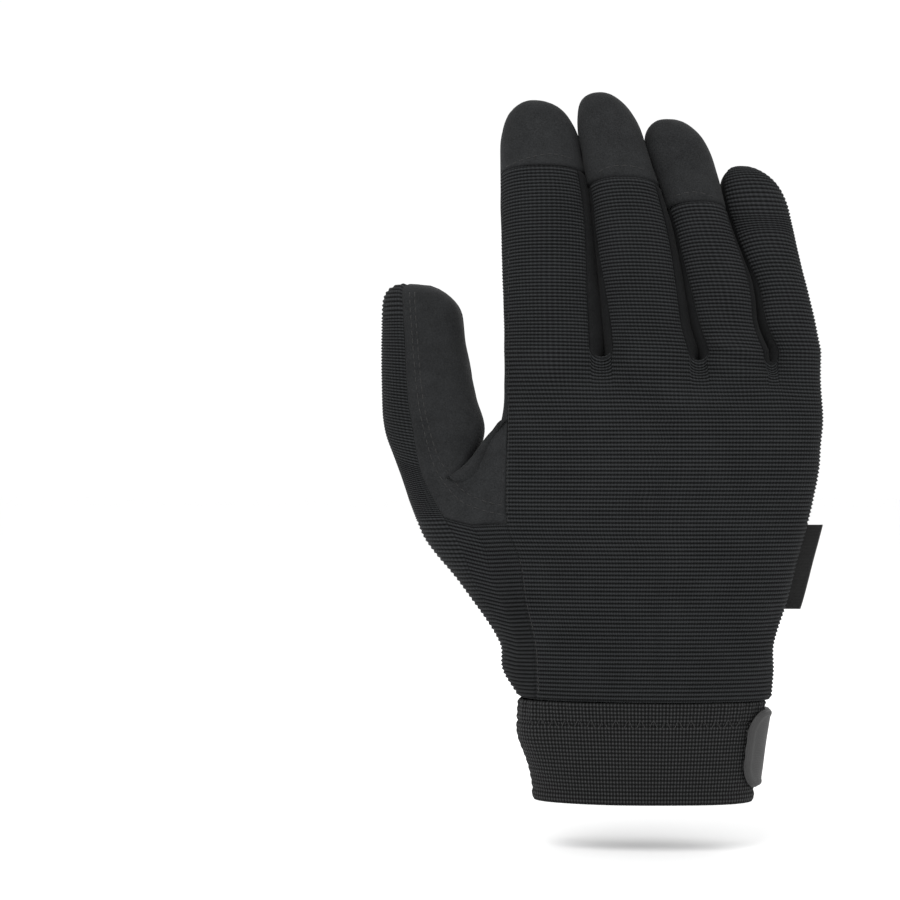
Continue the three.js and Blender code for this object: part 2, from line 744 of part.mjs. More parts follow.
// Height of a strip with round corners, near its ends
function roundedHalf(height, radius, millimetresPerDegree) {
  return (fromStart, fromEnd) => {
    const inside = Math.min(fromStart, fromEnd) * millimetresPerDegree;
    const missing = clamp01((radius - inside) / radius);
    return height / 2 - radius + radius * Math.sqrt(1 - missing ** 2 * 0.98);
  };
}
cuffPatch(
  "strap", strapFrom, strapTo, cells.strapAround, cells.strapRows,
  strapMiddle, roundedHalf(strapHeight, strapCornerRadius, palmArc),
);
cuffPatch(
  "pad", padFrom, padTo, cells.strapAround, cells.strapRows,
  strapMiddle, roundedHalf(padHeight, padCornerRadius, palmArc),
);
cuffPatch(
  "binding", ventFrom, ventFrom - bindingWidth / palmArc, 2, cells.strapRows,
  (cuffTop + ventHeight) / 2, () => (ventHeight - cuffTop) / 2,
);

// Directions out of the skin at its points
const normals = skin.points.map(() => new THREE.Vector3());
for (const faces of Object.values(skin.patches)) {
  for (const face of faces) {
    const [a, b, c] = face.map((id) => skin.points[id]);
    const normal = new THREE.Vector3().subVectors(b, a).cross(new THREE.Vector3().subVectors(c, a));
    for (const id of face) normals[id].add(normal);
  }
}
for (const normal of normals) normal.normalize();

const solidMaterials = {
  knit: new THREE.MeshStandardMaterial({ color: 0x25272a, roughness: 0.95, metalness: 0 }),
  suede: new THREE.MeshStandardMaterial({ color: 0x2c2e30, roughness: 0.9, metalness: 0 }),
  elastic: new THREE.MeshStandardMaterial({ color: 0x212023, roughness: 0.9, metalness: 0 }),
  strap: new THREE.MeshStandardMaterial({ color: 0x4c4c4c, roughness: 0.7, metalness: 0 }),
  dots: new THREE.MeshStandardMaterial({ color: 0x3a3c3e, roughness: 0.55, metalness: 0 }),
  tag: new THREE.MeshStandardMaterial({ color: 0x121213, roughness: 0.8, metalness: 0 }),
};

// Wall between two heights over the skin, under some of its faces. Towards its seams it thins to
// seamWall, so that the walls on both sides of a seam face each other.
function wallGeometry(faces, top, bottom) {
  const edges = new Map();
  for (const [a, b, c] of faces) {
    for (const [from, to, third] of [[a, b, c], [b, c, a], [c, a, b]]) {
      const twin = `${to},${from}`;
      if (edges.has(twin)) edges.delete(twin);
      else edges.set(`${from},${to}`, [from, to, third]);
    }
  }
  const pulls = new Map();
  for (const [from, to, third] of edges.values()) {
    const along = new THREE.Vector3().subVectors(skin.points[to], skin.points[from]).normalize();
    const inward = new THREE.Vector3().subVectors(skin.points[third], skin.points[from]);
    inward.addScaledVector(along, -inward.dot(along)).normalize();
    for (const id of [from, to]) {
      if (!pulls.has(id)) pulls.set(id, []);
      pulls.get(id).push(inward);
    }
  }
  const used = [...new Set(faces.flat())];
  const place = new Map(used.map((id, i) => [id, i]));
  const positions = [];
  for (const lift of [top, bottom]) {
    for (const id of used) {
      const inwards = pulls.get(id);
      const depth = inwards ? Math.max(lift, -seamWall) : lift;
      const point = skin.points[id].clone().addScaledVector(normals[id], depth);
      if (inwards) {
        const pull = inwards.reduce((sum, v) => sum.add(v), new THREE.Vector3());
        const length = Math.max(0.7, pull.length() / inwards.length);
        point.addScaledVector(pull.normalize(), seamGap / 2 / length);
      }
      positions.push(point.x, point.y, point.z);
    }
  }
  const under = used.length;
  const index = [];
  for (const [a, b, c] of faces.map((face) => face.map((id) => place.get(id)))) {
    index.push(a, b, c, under + a, under + c, under + b);
  }
  for (const [from, to] of edges.values()) {
    const a = place.get(from);
    const b = place.get(to);
    if (from < to) index.push(a, under + a, b, b, under + a, under + b);
    else index.push(a, under + a, under + b, a, under + b, b);
  }
  const geometry = new THREE.BufferGeometry();
  geometry.setAttribute("position", new THREE.Float32BufferAttribute(positions, 3));
  geometry.setIndex(index);
  geometry.computeVertexNormals();
  return geometry;
}

const glove = new THREE.Group();

function addNode(name, geometry, material) {
  const mesh = new THREE.Mesh(geometry, solidMaterials[material]);
  mesh.name = name;
  glove.add(mesh);
}

// Panel of cloth over some patches. Its outer face is in the skin, or lies at a height over it.
function addPanel(name, patches, wall, material, height = 0) {
  const faces = patches.flatMap((patch) => skin.patches[patch]);
  addNode(name, wallGeometry(faces, height, height - wall), material);
}

addPanel("back_panel", [
  "hand_back", "index_back", "middle_back", "ring_back", "pinky_back", "pinky_back_tip",
], knitWall, "knit");
addPanel("thumb_back_panel", [
  "thumb_knit_lower", "thumb_knit_upper", "thumb_edge_lower", "thumb_back_web_lower",
  "free_thumb_knit",
], knitWall, "knit");
addPanel("palm_panel", [
  "hand_palm", "index_side", "thumb_palm_web_lower", "thumb_palm_web_upper",
  "thumb_palm_lower", "thumb_palm_upper", "free_thumb_palm",
  "index_palm", "index_palm_tip", "index_left", "index_left_tip",
  "middle_palm", "middle_palm_tip", "ring_palm", "ring_palm_tip", "pinky_palm", "pinky_palm_tip",
], suedeWall, "suede");
addPanel("thumb_wrap_panel", [
  "thumb_edge_upper", "thumb_back_web_upper", "thumb_saddle", "free_thumb_edge", "free_thumb_inner",
], suedeWall, "suede");

for (const name of ["index", "middle", "ring"]) {
  const patches = [`${name}_back_tip`, `${name}_right_tip`];
  if (name !== "index") patches.push(`${name}_left_tip`);
  addPanel(`${name}_fingertip_cap`, patches, suedeWall, "suede");
}
fingers.slice(0, -1).forEach((finger, i) => {
  const next = fingers[i + 1].name;
  const patches = [`${finger.name}_right`, `web_${finger.name}`, `${next}_left`];
  if (next === "pinky") patches.push("pinky_left_tip");
  addPanel(`fourchette_${finger.name}_${next}`, patches, sideStripWall, "suede");
});

addPanel("index_touch_patch", ["index_touch"], patchWall, "dots", seamGap + patchWall);
addPanel("thumb_touch_patch", ["thumb_touch"], patchWall, "dots", seamGap + patchWall);
addPanel("cuff_band", ["cuff"], elasticWall, "elastic");
addPanel("closure_strap", ["strap"], strapWall, "strap", seamGap + strapWall);
addPanel("strap_pad", ["pad"], padWall, "strap", 2 * seamGap + strapWall + padWall);
addPanel("vent_binding", ["binding"], bindingWall, "strap", seamGap + bindingWall);

// Folded tag in the side seam, a flat slanted plate
const tagFoot = cuffTop + tagRise * palmLength;
const tagHead = tagFoot + tagLength;
const seamPoint = (z) => ovalPoint(handOval(z), pinkySeamAngle);
const tagOutline = [tagFoot, tagHead].map((z) => ({
  inner: seamPoint(z).x + tagSeat,
  outer: handOval(z).x + handOval(z).halfWidth + tagReach,
  z,
}));
const [foot, head] = tagOutline;
const tagShape = new THREE.Shape([
  new THREE.Vector2(foot.inner, foot.z),
  new THREE.Vector2(foot.outer, foot.z),
  new THREE.Vector2(head.outer, head.z),
  new THREE.Vector2(head.inner, head.z),
]);
const tagGeometry = new THREE.ExtrudeGeometry(tagShape, { depth: tagThickness, bevelEnabled: false });
tagGeometry.rotateX(Math.PI / 2);
tagGeometry.translate(0, (seamPoint(tagFoot).y + seamPoint(tagHead).y) / 2 + tagThickness, 0);
addNode("side_tag", tagGeometry, "tag");

export default glove;
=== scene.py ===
# Looks of a right-hand mechanic glove, held up as if worn. Metres, in the frame of the packed
# solids: +Z runs up the fingers, the back of the hand faces -Y and the little finger is at +X.
#
# Each panel of cloth is one fine skin of rows and columns over the solid that it replaces. Ribs,
# rolled seams, folds, threads and grip dots are real geometry; weave and nap are in the materials,
# with painted shade in the troughs between the knit's ribs and on the strips between the fingers.
import math

import bpy
import numpy as np
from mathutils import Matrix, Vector, kdtree, noise
from mathutils.bvhtree import BVHTree


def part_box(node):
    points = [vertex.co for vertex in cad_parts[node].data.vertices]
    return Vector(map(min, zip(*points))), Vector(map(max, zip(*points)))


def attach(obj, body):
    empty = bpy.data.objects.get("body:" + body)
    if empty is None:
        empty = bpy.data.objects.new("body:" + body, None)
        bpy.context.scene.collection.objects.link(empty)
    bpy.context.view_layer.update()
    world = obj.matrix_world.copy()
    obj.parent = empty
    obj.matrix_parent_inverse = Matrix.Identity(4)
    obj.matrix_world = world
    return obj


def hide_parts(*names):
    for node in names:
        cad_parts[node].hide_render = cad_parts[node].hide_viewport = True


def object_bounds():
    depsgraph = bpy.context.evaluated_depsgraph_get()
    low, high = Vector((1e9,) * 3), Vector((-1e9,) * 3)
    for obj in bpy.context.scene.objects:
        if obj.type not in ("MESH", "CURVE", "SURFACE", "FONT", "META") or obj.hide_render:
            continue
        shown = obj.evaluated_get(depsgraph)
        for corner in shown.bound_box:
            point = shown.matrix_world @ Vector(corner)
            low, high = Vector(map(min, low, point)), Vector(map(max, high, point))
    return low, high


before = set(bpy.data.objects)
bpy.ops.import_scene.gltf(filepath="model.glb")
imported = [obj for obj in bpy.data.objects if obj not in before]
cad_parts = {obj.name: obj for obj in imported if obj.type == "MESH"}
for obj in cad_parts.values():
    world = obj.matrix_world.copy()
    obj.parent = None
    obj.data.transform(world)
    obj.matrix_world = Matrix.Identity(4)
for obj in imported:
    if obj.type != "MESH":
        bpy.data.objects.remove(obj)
cad_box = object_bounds()

# Driving dimensions
cuff_height = 0.0345
cuff_rim_width = 0.0748
cuff_top_width = 0.0844
cuff_rim_depth = 0.033
cuff_top_depth = 0.036
palm_length = 0.1185
palm_width = 0.108
palm_depth = 0.035
thumb_length = 0.0675
index_length = 0.0867
middle_length = 0.0895
ring_length = 0.08
pinky_length = 0.0635
thumb_tip_round = 0.012
finger_tip_round = 0.017
finger_spacing = -0.0009
seam_gap = 0.0003
vent_height = 0.0495
strap_height = 0.0265
strap_middle = 0.0185
strap_corner = 0.009
strap_wall = 0.0018
pad_height = 0.0225
pad_rise = 0.0011
pad_wall = 0.0012
binding_width = 0.0055

rib_pitch = 0.00136
finger_rib_pitch = 0.00115
rib_height = 0.00026
rows_per_rib = 4
wale_pitch = 0.00115
knit_wall = 0.0016
suede_wall = 0.0011
elastic_wall = 0.0016
elastic_cord = 0.00105
elastic_pick = 0.0013
strap_grain = 0.0006
tape_wall = 0.0008
patch_wall = 0.0009
tag_wall = 0.0003

seam_roll = 0.0006
seam_roll_width = 0.0014
slit_round = 0.0028
thumb_boxiness = 2.2

cuff_top = cuff_height + seam_gap
crotch_height = cuff_top + palm_length


def table(names, *rows):
    return dict(zip(names.split(), np.array(rows, dtype=float).T))


# The hand without its thumb: rise is a share of palm_length, left, right and seam are shares of
# palm_width, depth is a share of palm_depth, boxiness is the exponent of the oval, and palm_end
# the angle where the palm meets the thumb's lobe.
hand_sections = table(
    "rise left right seam depth boxiness palm_end",
    [0.0, -0.39, 0.405, -0.334, 1.029, 2.2, -110],
    [0.08, -0.432, 0.413, -0.336, 1.01, 2.2, -111],
    [0.16, -0.452, 0.416, -0.341, 1.0, 2.25, -113],
    [0.28, -0.5, 0.458, -0.372, 1.0, 2.3, -120],
    [0.4, -0.54, 0.492, -0.388, 1.0, 2.3, -127],
    [0.5, -0.545, 0.52, -0.426, 1.0, 2.35, -131],
    [0.65, -0.5, 0.555, -0.43, 0.98, 2.4, -141],
    [0.73, -0.467, 0.563, -0.43, 0.96, 2.45, -142],
    [0.8, -0.446, 0.57, -0.43, 0.93, 2.5, -142],
    [0.9, -0.437, 0.566, -0.43, 0.88, 2.5, -142],
    [1.0, -0.434, 0.556, -0.43, 0.83, 2.5, -142],
)

# The thumb's lobe, in the same shares, with the angles of its seams: 90 at the back, 180 at the
# outer edge
thumb_sections = table(
    "rise middle width offset depth knit_edge web_edge palm_seam palm_edge",
    [0.0, 0.0105, 0.801, 0.0, 1.029, 165, 157, 218, 235],
    [0.08, -0.04, 0.81, 0.0, 1.01, 161, 151, 219, 239],
    [0.16, -0.17, 0.57, 0.01, 1.0, 154, 140, 220, 245],
    [0.32, -0.385, 0.37, 0.05, 0.98, 134, 112, 218, 262],
    [0.45, -0.53, 0.315, 0.09, 0.95, 106, 82, 214, 280],
    [0.56, -0.6, 0.281, 0.12, 0.89, 109, 84, 210, 292],
    [0.65, -0.648, 0.25, 0.15, 0.83, 112, 84, 207, 300],
    [0.78, -0.665, 0.32, 0.18, 0.8, 111, 80, 205, 305],
    [0.87, -0.684, 0.304, 0.21, 0.77, 111, 74, 205, 308],
    [1.02, -0.7, 0.27, 0.26, 0.71, 112, 70, 205, 310],
    [1.1, -0.704, 0.258, 0.28, 0.68, 114, 68, 205, 310],
    [1.2, -0.712, 0.235, 0.31, 0.62, 116, 68, 205, 310],
)

# Where the fingers' edges run, above the crotches
finger_edges = table(
    "rise outer index_middle middle_ring ring_pinky pinky_side",
    [0.0, -0.434, -0.12, 0.176, 0.394, 0.556],
    [0.1, -0.434, -0.125, 0.15, 0.361, 0.54],
    [0.25, -0.439, -0.137, 0.129, 0.345, 0.515],
    [0.45, -0.444, -0.153, 0.098, 0.287, 0.479],
    [0.6, -0.447, -0.166, 0.064, 0.253, 0.457],
    [0.75, -0.449, -0.19, 0.022, 0.225, 0.447],
    [1.0, -0.45, -0.222, -0.045, 0.185, 0.42],
)

finger_names = ["index", "middle", "ring", "pinky"]
finger_sides = [("outer", "index_middle"), ("index_middle", "middle_ring"),
                ("middle_ring", "ring_pinky"), ("ring_pinky", "pinky_side")]
# Each finger's length; its offset to the palm at the root, how much more at the tip, and its depths,
# in shares of palm_depth; the cap's seam as a share of the length; the tip's X as a share of
# palm_width; the turn of its ovals in degrees; and the angles where its back, its cap and its palm
# side start and end
finger_shapes = table(
    "length offset curl base_depth tip_depth cap apex yaw back_from back_to cap_from cap_to "
    "palm_from palm_to cap_palm",
    [index_length, 0.0, 0.38, 0.77, 0.6, 0.7, -0.334, -3, 172, 46, 172, 34, -34, -145, -38],
    [middle_length, -0.01, 0.4, 0.8, 0.61, 0.627, -0.145, 2, 144, 44, 160, 32, -30, -150, -26],
    [ring_length, 0.02, 0.38, 0.73, 0.56, 0.6, 0.078, 8, 142, 42, 165, 30, -30, -150, -26],
    [pinky_length, 0.08, 0.34, 0.62, 0.52, 0.6, 0.31, 14, 142, -25, 164, -25, -25, -150, -25],
)

# Angles of seams, vent, strap and pad in degrees, from +X, with 90 at the back
cap_palm_end = -154
pinky_seam_angle = -20
vent_half_angle = 6
strap_from = 33
strap_to = -146
pad_from = -46
pad_to = -138

# Tips: the thumb's X as a share of palm_width, how far each tip leans to the back, the share of its
# height over which the lean fades in, and the exponents of the ovals
thumb_apex = -0.742
thumb_tilt = 0.05
finger_tilt = 0.3
tilt_rise = 0.7
finger_boxiness = 2.35
tip_boxiness = 2.35

# Steps and limits of the mesh
first_row = np.array([0.0])
top_row = np.array([1.0])
weld_distance = 0.000002
slope_step = 0.001
turn_step = 2
end_density = 0.8
fine_steps = 200
dome_steps = 400
almost_one = 0.9995
wave_shift = (7.1, 3.3, 5.7)
ridge_end = 0.04

# Heights of the skin's rows, as shares of palm_length
levels = {
    "back_left": (0.503, 0.799, 1.012),
    "back_right": (0.503, 0.799, 0.985),
    "palm_right": (0.503, 0.799, 0.985),
    "palm_middle": (0.5, 0.76, 0.941),
    "palm_left": (0.49, 0.637, 0.941),
    "thumb_palm": (0.49, 0.605, 0.0),
    "thumb_palm_seam": (0.5, 0.655, 0.0),
    "thumb_outer": (0.515, 0.69, 0.0),
    "knit_edge": (0.52, 0.668, 0.0),
    "web_edge": (0.5, 0.634, 0.0),
}
levels = {place: np.array(heights) for place, heights in levels.items()}


def mix(a, b, share):
    return a + (b - a) * share


def smooth(value):
    value = np.clip(value, 0, 1)
    return value * value * (3 - 2 * value)


def curve_value(rows, column, rise):
    """Smooth curve through one column of a table."""
    knots, values = rows["rise"], rows[column]
    slopes = np.empty_like(values)
    slopes[1:-1] = (values[2:] - values[:-2]) / (knots[2:] - knots[:-2])
    slopes[0] = (values[1] - values[0]) / (knots[1] - knots[0])
    slopes[-1] = (values[-1] - values[-2]) / (knots[-1] - knots[-2])
    rise = np.clip(rise, knots[0], knots[-1])
    i = np.clip(np.searchsorted(knots, rise, side="right") - 1, 0, len(knots) - 2)
    span = knots[i + 1] - knots[i]
    t = (rise - knots[i]) / span
    return (values[i] * (1 + 2 * t) * (1 - t) ** 2 + slopes[i] * span * t * (1 - t) ** 2
            + values[i + 1] * t * t * (3 - 2 * t) - slopes[i + 1] * span * t * t * (1 - t))


class Oval:
    """Oval with rounded corners, or a whole stack of them in arrays."""

    def __init__(self, x, y, half_width, half_depth, boxiness, yaw=0.0):
        self.values = [np.asarray(v, dtype=float) for v in
                       (x, y, half_width, half_depth, boxiness, yaw)]

    def xy(self, angle, extra=0):
        """Point at an angle from +X, with 90 degrees at the back (-Y)."""
        x, y, half_width, half_depth, boxiness, yaw = [
            v[(...,) + (None,) * extra] if v.ndim else v for v in self.values]
        c, s = np.cos(np.radians(angle)), np.sin(np.radians(angle))
        across = half_width * np.sign(c) * np.abs(c) ** (2 / boxiness)
        back = half_depth * np.sign(s) * np.abs(s) ** (2 / boxiness)
        cos_yaw, sin_yaw = np.cos(np.radians(yaw)), np.sin(np.radians(yaw))
        return x + across * cos_yaw + back * sin_yaw, y + across * sin_yaw - back * cos_yaw

    def at(self, angle, z):
        x, y = self.xy(angle)
        return stacked(x, y, z)

    def direction(self, angle, turn):
        xa, ya = self.xy(angle)
        xb, yb = self.xy(angle + turn)
        way = stacked(xb - xa, yb - ya, 0.0)
        return way / np.linalg.norm(way, axis=-1, keepdims=True)

    def angle_along(self, start, end, share, steps=40):
        """Angle a given share of the way along the arc, by length."""
        t = np.linspace(0, 1, steps + 1)
        start, end, share = np.broadcast_arrays(start, end, share)
        x, y = self.xy(mix(start[..., None], end[..., None], t), extra=1)
        lengths = np.concatenate(
            [np.zeros(x.shape[:-1] + (1,)), np.cumsum(np.hypot(np.diff(x), np.diff(y)), -1)], -1)
        wanted = share * lengths[..., -1]
        i = np.clip((lengths[..., 1:] < wanted[..., None]).sum(-1), 0, steps - 1)[..., None]
        low = np.take_along_axis(lengths, i, -1)[..., 0]
        high = np.take_along_axis(lengths, i + 1, -1)[..., 0]
        return mix(start, end, (i[..., 0] + (wanted - low) / (high - low)) / steps)


def stacked(x, y, z):
    return np.stack(np.broadcast_arrays(x, y, z), -1).astype(float)


def lengths_along(points):
    """Length of a line of points up to each of them."""
    return np.concatenate([[0.0], np.cumsum(np.linalg.norm(np.diff(points, axis=0), axis=1))])


def rise_of(z):
    return (z - cuff_top) / palm_length


def height_of(share):
    return cuff_top + share * palm_length


def hand_oval(z):
    rise = rise_of(z)
    left = curve_value(hand_sections, "left", rise) * palm_width
    right = curve_value(hand_sections, "right", rise) * palm_width
    return Oval((left + right) / 2, 0.0, (right - left) / 2,
                curve_value(hand_sections, "depth", rise) * palm_depth / 2,
                curve_value(hand_sections, "boxiness", rise))


def thumb_oval(z):
    rise = rise_of(z)
    return Oval(curve_value(thumb_sections, "middle", rise) * palm_width,
                curve_value(thumb_sections, "offset", rise) * palm_depth,
                curve_value(thumb_sections, "width", rise) * palm_width / 2,
                curve_value(thumb_sections, "depth", rise) * palm_depth / 2, thumb_boxiness)


def thumb_angle(column, z):
    return curve_value(thumb_sections, column, rise_of(z))


def shape_of(finger, name):
    return finger_shapes[name][finger]


def finger_oval(finger, z):
    rise = (z - crotch_height) / middle_length
    left_edge, right_edge = finger_sides[finger]
    left = curve_value(finger_edges, left_edge, rise) * palm_width
    right = curve_value(finger_edges, right_edge, rise) * palm_width
    share = np.clip((z - crotch_height) / shape_of(finger, "length"), 0, 1)
    depth = mix(shape_of(finger, "base_depth"), shape_of(finger, "tip_depth"), share)
    offset = shape_of(finger, "offset") + shape_of(finger, "curl") * share ** 2
    return Oval((left + right) / 2, offset * palm_depth, (right - left) / 2 - finger_spacing / 2,
                depth * palm_depth / 2, finger_boxiness, shape_of(finger, "yaw"))


def seam_angle(z):
    """Angle at which the hand's oval meets the seam beside the thumb."""
    x, _, half_width, _, boxiness, _ = hand_oval(z).values
    seam = curve_value(hand_sections, "seam", rise_of(z)) * palm_width
    share = np.minimum(almost_one, (x - seam) / half_width)
    return 180 - np.degrees(np.arccos(share ** (boxiness / 2)))


def palm_end_angle(z):
    return curve_value(hand_sections, "palm_end", rise_of(z))


def vent_angle(z):
    left = np.clip((vent_height - z) / (vent_height - cuff_top), 0, 1)
    return vent_half_angle * np.sqrt(left)


def row_height(zone, share, at):
    """Height of a row: a share of the way up its zone, between the levels of its place."""
    patch, thumb, crotch = at[..., 0], at[..., 1], at[..., 2]
    low, high = {
        "lower": (cuff_top, height_of(patch)),
        "patch": (height_of(patch), height_of(thumb)),
        "knuckles": (height_of(thumb), height_of(crotch)),
    }[zone]
    return mix(low, high, share)


def mix_levels(a, b, share):
    return mix(levels[a], levels[b], np.asarray(share)[..., None])


def back_levels(share):
    return mix_levels("back_left", "back_right", smooth(share))


def palm_levels(share):
    share = np.asarray(share)
    right = mix_levels("palm_right", "palm_middle", smooth(share * 2))
    left = mix_levels("palm_middle", "palm_left", smooth(share * 2 - 1))
    return np.where(share[..., None] < 0.5, right, left)


def hand_side(side, z, share):
    oval = hand_oval(z)
    if side == "back":
        start, end = seam_angle(z), pinky_seam_angle + vent_angle(z)
    else:
        start, end = pinky_seam_angle - vent_angle(z), palm_end_angle(z)
    return oval.at(oval.angle_along(start, end, share), z)


def corner_share(side, x):
    """Share of the way across the back or the palm at which a finger's corner lies."""
    share = np.linspace(0, 1, fine_steps + 1)
    at = back_levels(share) if side == "back" else palm_levels(share)
    points = hand_side(side, height_of(at[..., 2]), share)
    return share[np.argmin(np.abs(points[:, 0] - x))]


def dense_ends(count):
    """Shares that lie closer together towards both ends."""
    share = np.linspace(0, 1, count + 1)
    return mix(share, (1 - np.cos(math.pi * share)) / 2, end_density)


columns = {
    "finger_back": dense_ends(16),
    "pinky_back": dense_ends(22),
    "finger_palm": dense_ends(16),
    "web": dense_ends(8),
    "side": dense_ends(12),
    "index_outer": dense_ends(18),
    "thumb_web": dense_ends(16),
    "thumb_knit": dense_ends(18),
    "thumb_edge": dense_ends(8),
    "thumb_palm": dense_ends(18),
    "thumb_inner": dense_ends(18),
}


def stretches(side):
    """The stretches across the back or the palm: a finger's own width, or the web between two."""
    order = range(4) if side == "back" else range(3, -1, -1)
    found = []
    for place, finger in enumerate(order):
        start_angle = shape_of(finger, f"{side}_from")
        end_angle = shape_of(finger, f"{side}_to")
        crotch = height_of(1.0 if side == "back" else levels["palm_left"][2])
        oval = finger_oval(finger, crotch)
        start = 0.0 if place == 0 else corner_share(side, oval.xy(start_angle)[0])
        end = 1.0 if place == 3 else corner_share(side, oval.xy(end_angle)[0])
        if place:
            found.append({"finger": None, "span": (found[-1]["span"][1], start),
                          "columns": columns["web"]})
        kind = "pinky_back" if side == "back" and finger == 3 else f"finger_{side}"
        found.append({"finger": finger, "angles": (start_angle, end_angle),
                      "span": (start, end), "columns": columns[kind]})
    return found


stretches_of = {"back": stretches("back"), "palm": stretches("palm")}


def stretch_index(side, finger):
    return next(i for i, s in enumerate(stretches_of[side]) if s["finger"] == finger)


def corner(stretch, at_end, z):
    return finger_oval(stretch["finger"], z).at(stretch["angles"][at_end], z)


def stretch_grid(side, index, zone, rows):
    """Points over one stretch. Towards the crotches the hand turns into the fingers."""
    line = stretches_of[side]
    stretch = line[index]
    inside = stretch["columns"][None, :]
    share = mix(*stretch["span"], inside)
    at = back_levels(share) if side == "back" else palm_levels(share)
    z = row_height(zone, rows[:, None], at)
    if zone == "knuckles" and stretch["finger"] is None and side == "back":
        z = z - slit_round * np.sqrt(1 - (2 * inside - 1) ** 2) * smooth(rows)[:, None] ** 4
    hand = hand_side(side, z, np.broadcast_to(share, z.shape))
    if zone != "knuckles":
        return hand
    if stretch["finger"] is None:
        own = mix(corner(line[index - 1], 1, z), corner(line[index + 1], 0, z), inside[..., None])
    else:
        own = finger_oval(stretch["finger"], z).at(mix(*stretch["angles"], inside), z)
    own[..., 2] = z
    return mix(hand, own, smooth(rows)[:, None, None])


def index_side_grid(rows):
    """Outer side of the index finger, above the thumb's crotch."""
    share = columns["index_outer"][None, :]
    z = row_height("knuckles", rows[:, None], mix_levels("palm_left", "back_left", share))
    oval = hand_oval(z)
    share = np.broadcast_to(share, z.shape)
    hand = oval.at(oval.angle_along(palm_end_angle(z) + 360, seam_angle(z), share), z)
    angle = mix(shape_of(0, "palm_to") + 360, shape_of(0, "back_from"), share)
    return mix(hand, finger_oval(0, z).at(angle, z), smooth(rows)[:, None, None])


def bridge(a, way_a, b, way_b, t):
    """Smooth bridge between two points with given directions."""
    reach = np.linalg.norm(b - a, axis=-1, keepdims=True)
    return (a * (1 + 2 * t) * (1 - t) ** 2 + way_a * reach * t * (1 - t) ** 2
            + b * t * t * (3 - 2 * t) - way_b * reach * t * t * (1 - t))


# Each part of the loop round the thumb: the levels and the angles at its two edges, and its columns
thumb_spans = {
    "palm": ("thumb_palm", "thumb_palm_seam", "palm_edge", "palm_seam", "thumb_palm"),
    "knit": ("thumb_palm_seam", "knit_edge", "palm_seam", "knit_edge", "thumb_knit"),
    "edge": ("knit_edge", "web_edge", "knit_edge", "web_edge", "thumb_edge"),
    "inner": ("web_edge", "thumb_palm", "web_edge", "palm_edge", "thumb_inner"),
}


def thumb_levels(start, end, share):
    if start != "thumb_palm_seam":
        return mix_levels(start, end, share)
    low = mix_levels(start, "thumb_outer", share * 2)
    high = mix_levels("thumb_outer", end, share * 2 - 1)
    return np.where(share[..., None] < 0.5, low, high)


def thumb_grid(name, zone, rows):
    """One part of the loop round the thumb's lobe, below its crotch."""
    rows = rows[:, None]
    if name in ("palm_web", "back_web"):
        hand_place, lobe_place, column = (
            ("palm_left", "thumb_palm", "palm_edge") if name == "palm_web"
            else ("back_left", "web_edge", "web_edge"))
        z = row_height(zone, rows, levels[hand_place])
        angle = palm_end_angle(z) if name == "palm_web" else seam_angle(z)
        hand = hand_oval(z)
        lobe_z = row_height(zone, rows, levels[lobe_place])
        lobe, lobe_angle = thumb_oval(lobe_z), thumb_angle(column, lobe_z)
        ends = [(hand.at(angle, z), hand.direction(angle, -turn_step)),
                (lobe.at(lobe_angle, lobe_z), lobe.direction(lobe_angle, -turn_step))]
        if name == "back_web":
            ends.reverse()
        return bridge(*ends[0], *ends[1], columns["thumb_web"][None, :, None])
    start, end, start_column, end_column, kind = thumb_spans[name]
    share = columns[kind][None, :]
    z = row_height(zone, rows, thumb_levels(start, end, share))
    return thumb_oval(z).at(mix(thumb_angle(start_column, z), thumb_angle(end_column, z), share), z)


def dome(oval_at, apex, base, tip, tilt, angle, share):
    """Round end of a finger or the thumb above its shoulder, going on from the body's slopes."""
    x, y, half_width, half_depth, boxiness, yaw = oval_at(base).values
    slopes = [(v - before) / slope_step for v, before in
              zip(oval_at(base).values, oval_at(base - slope_step).values)]
    turn = share * math.pi / 2
    scale = np.cos(turn) ** (2 / tip_boxiness)
    rise = np.sin(turn) ** (2 / tip_boxiness)
    height = tip - base
    eased = height * (rise - rise ** 2 / 2)
    middle = x + slopes[0] * height * rise + (apex - x - slopes[0] * height) * rise ** 2
    wide, deep = half_width + slopes[2] * eased, half_depth + slopes[3] * eased
    round_x, round_y = Oval(0, 0, wide, deep, boxiness, yaw).xy(angle)
    back = np.sin(np.radians(angle)) * half_depth
    return stacked(middle + round_x * scale, y + slopes[1] * eased + round_y * scale,
                   mix(base, tip, rise) + tilt * back * scale * smooth(rise / tilt_rise))


def even_rows(share):
    """Places of a dome's rows that lie evenly along its side, where share is even."""
    fine = np.linspace(0, 1, dome_steps)
    turn = fine * math.pi / 2
    power = 2 / tip_boxiness
    across, up = np.cos(turn) ** power * 0.5, np.sin(turn) ** power
    steps = np.hypot(np.diff(across), np.diff(up))
    lengths = np.concatenate([[0.0], np.cumsum(steps)])
    return np.interp(share * lengths[-1], lengths, fine)


thumb_tip = cuff_top + levels["web_edge"][1] * palm_length + thumb_length
thumb_shoulder = thumb_tip - thumb_tip_round


def free_thumb_grid(name, rows, tip_rows):
    start, end, start_column, end_column, kind = thumb_spans[name]
    share = columns[kind][None, :]
    low = height_of(thumb_levels(start, end, share)[..., 1])

    def angle_at(z):
        turn = 360 if end_column == "palm_edge" else 0
        return mix(thumb_angle(start_column, z), thumb_angle(end_column, z) - turn, share)

    at_shoulder = angle_at(thumb_shoulder)
    z = mix(low, thumb_shoulder, rows[:, None])
    body = thumb_oval(z).at(angle_at(z), z)
    tip = dome(thumb_oval, thumb_apex * palm_width, thumb_shoulder, thumb_tip, thumb_tilt,
               at_shoulder, even_rows(tip_rows)[1:, None])
    return np.concatenate([body, tip])


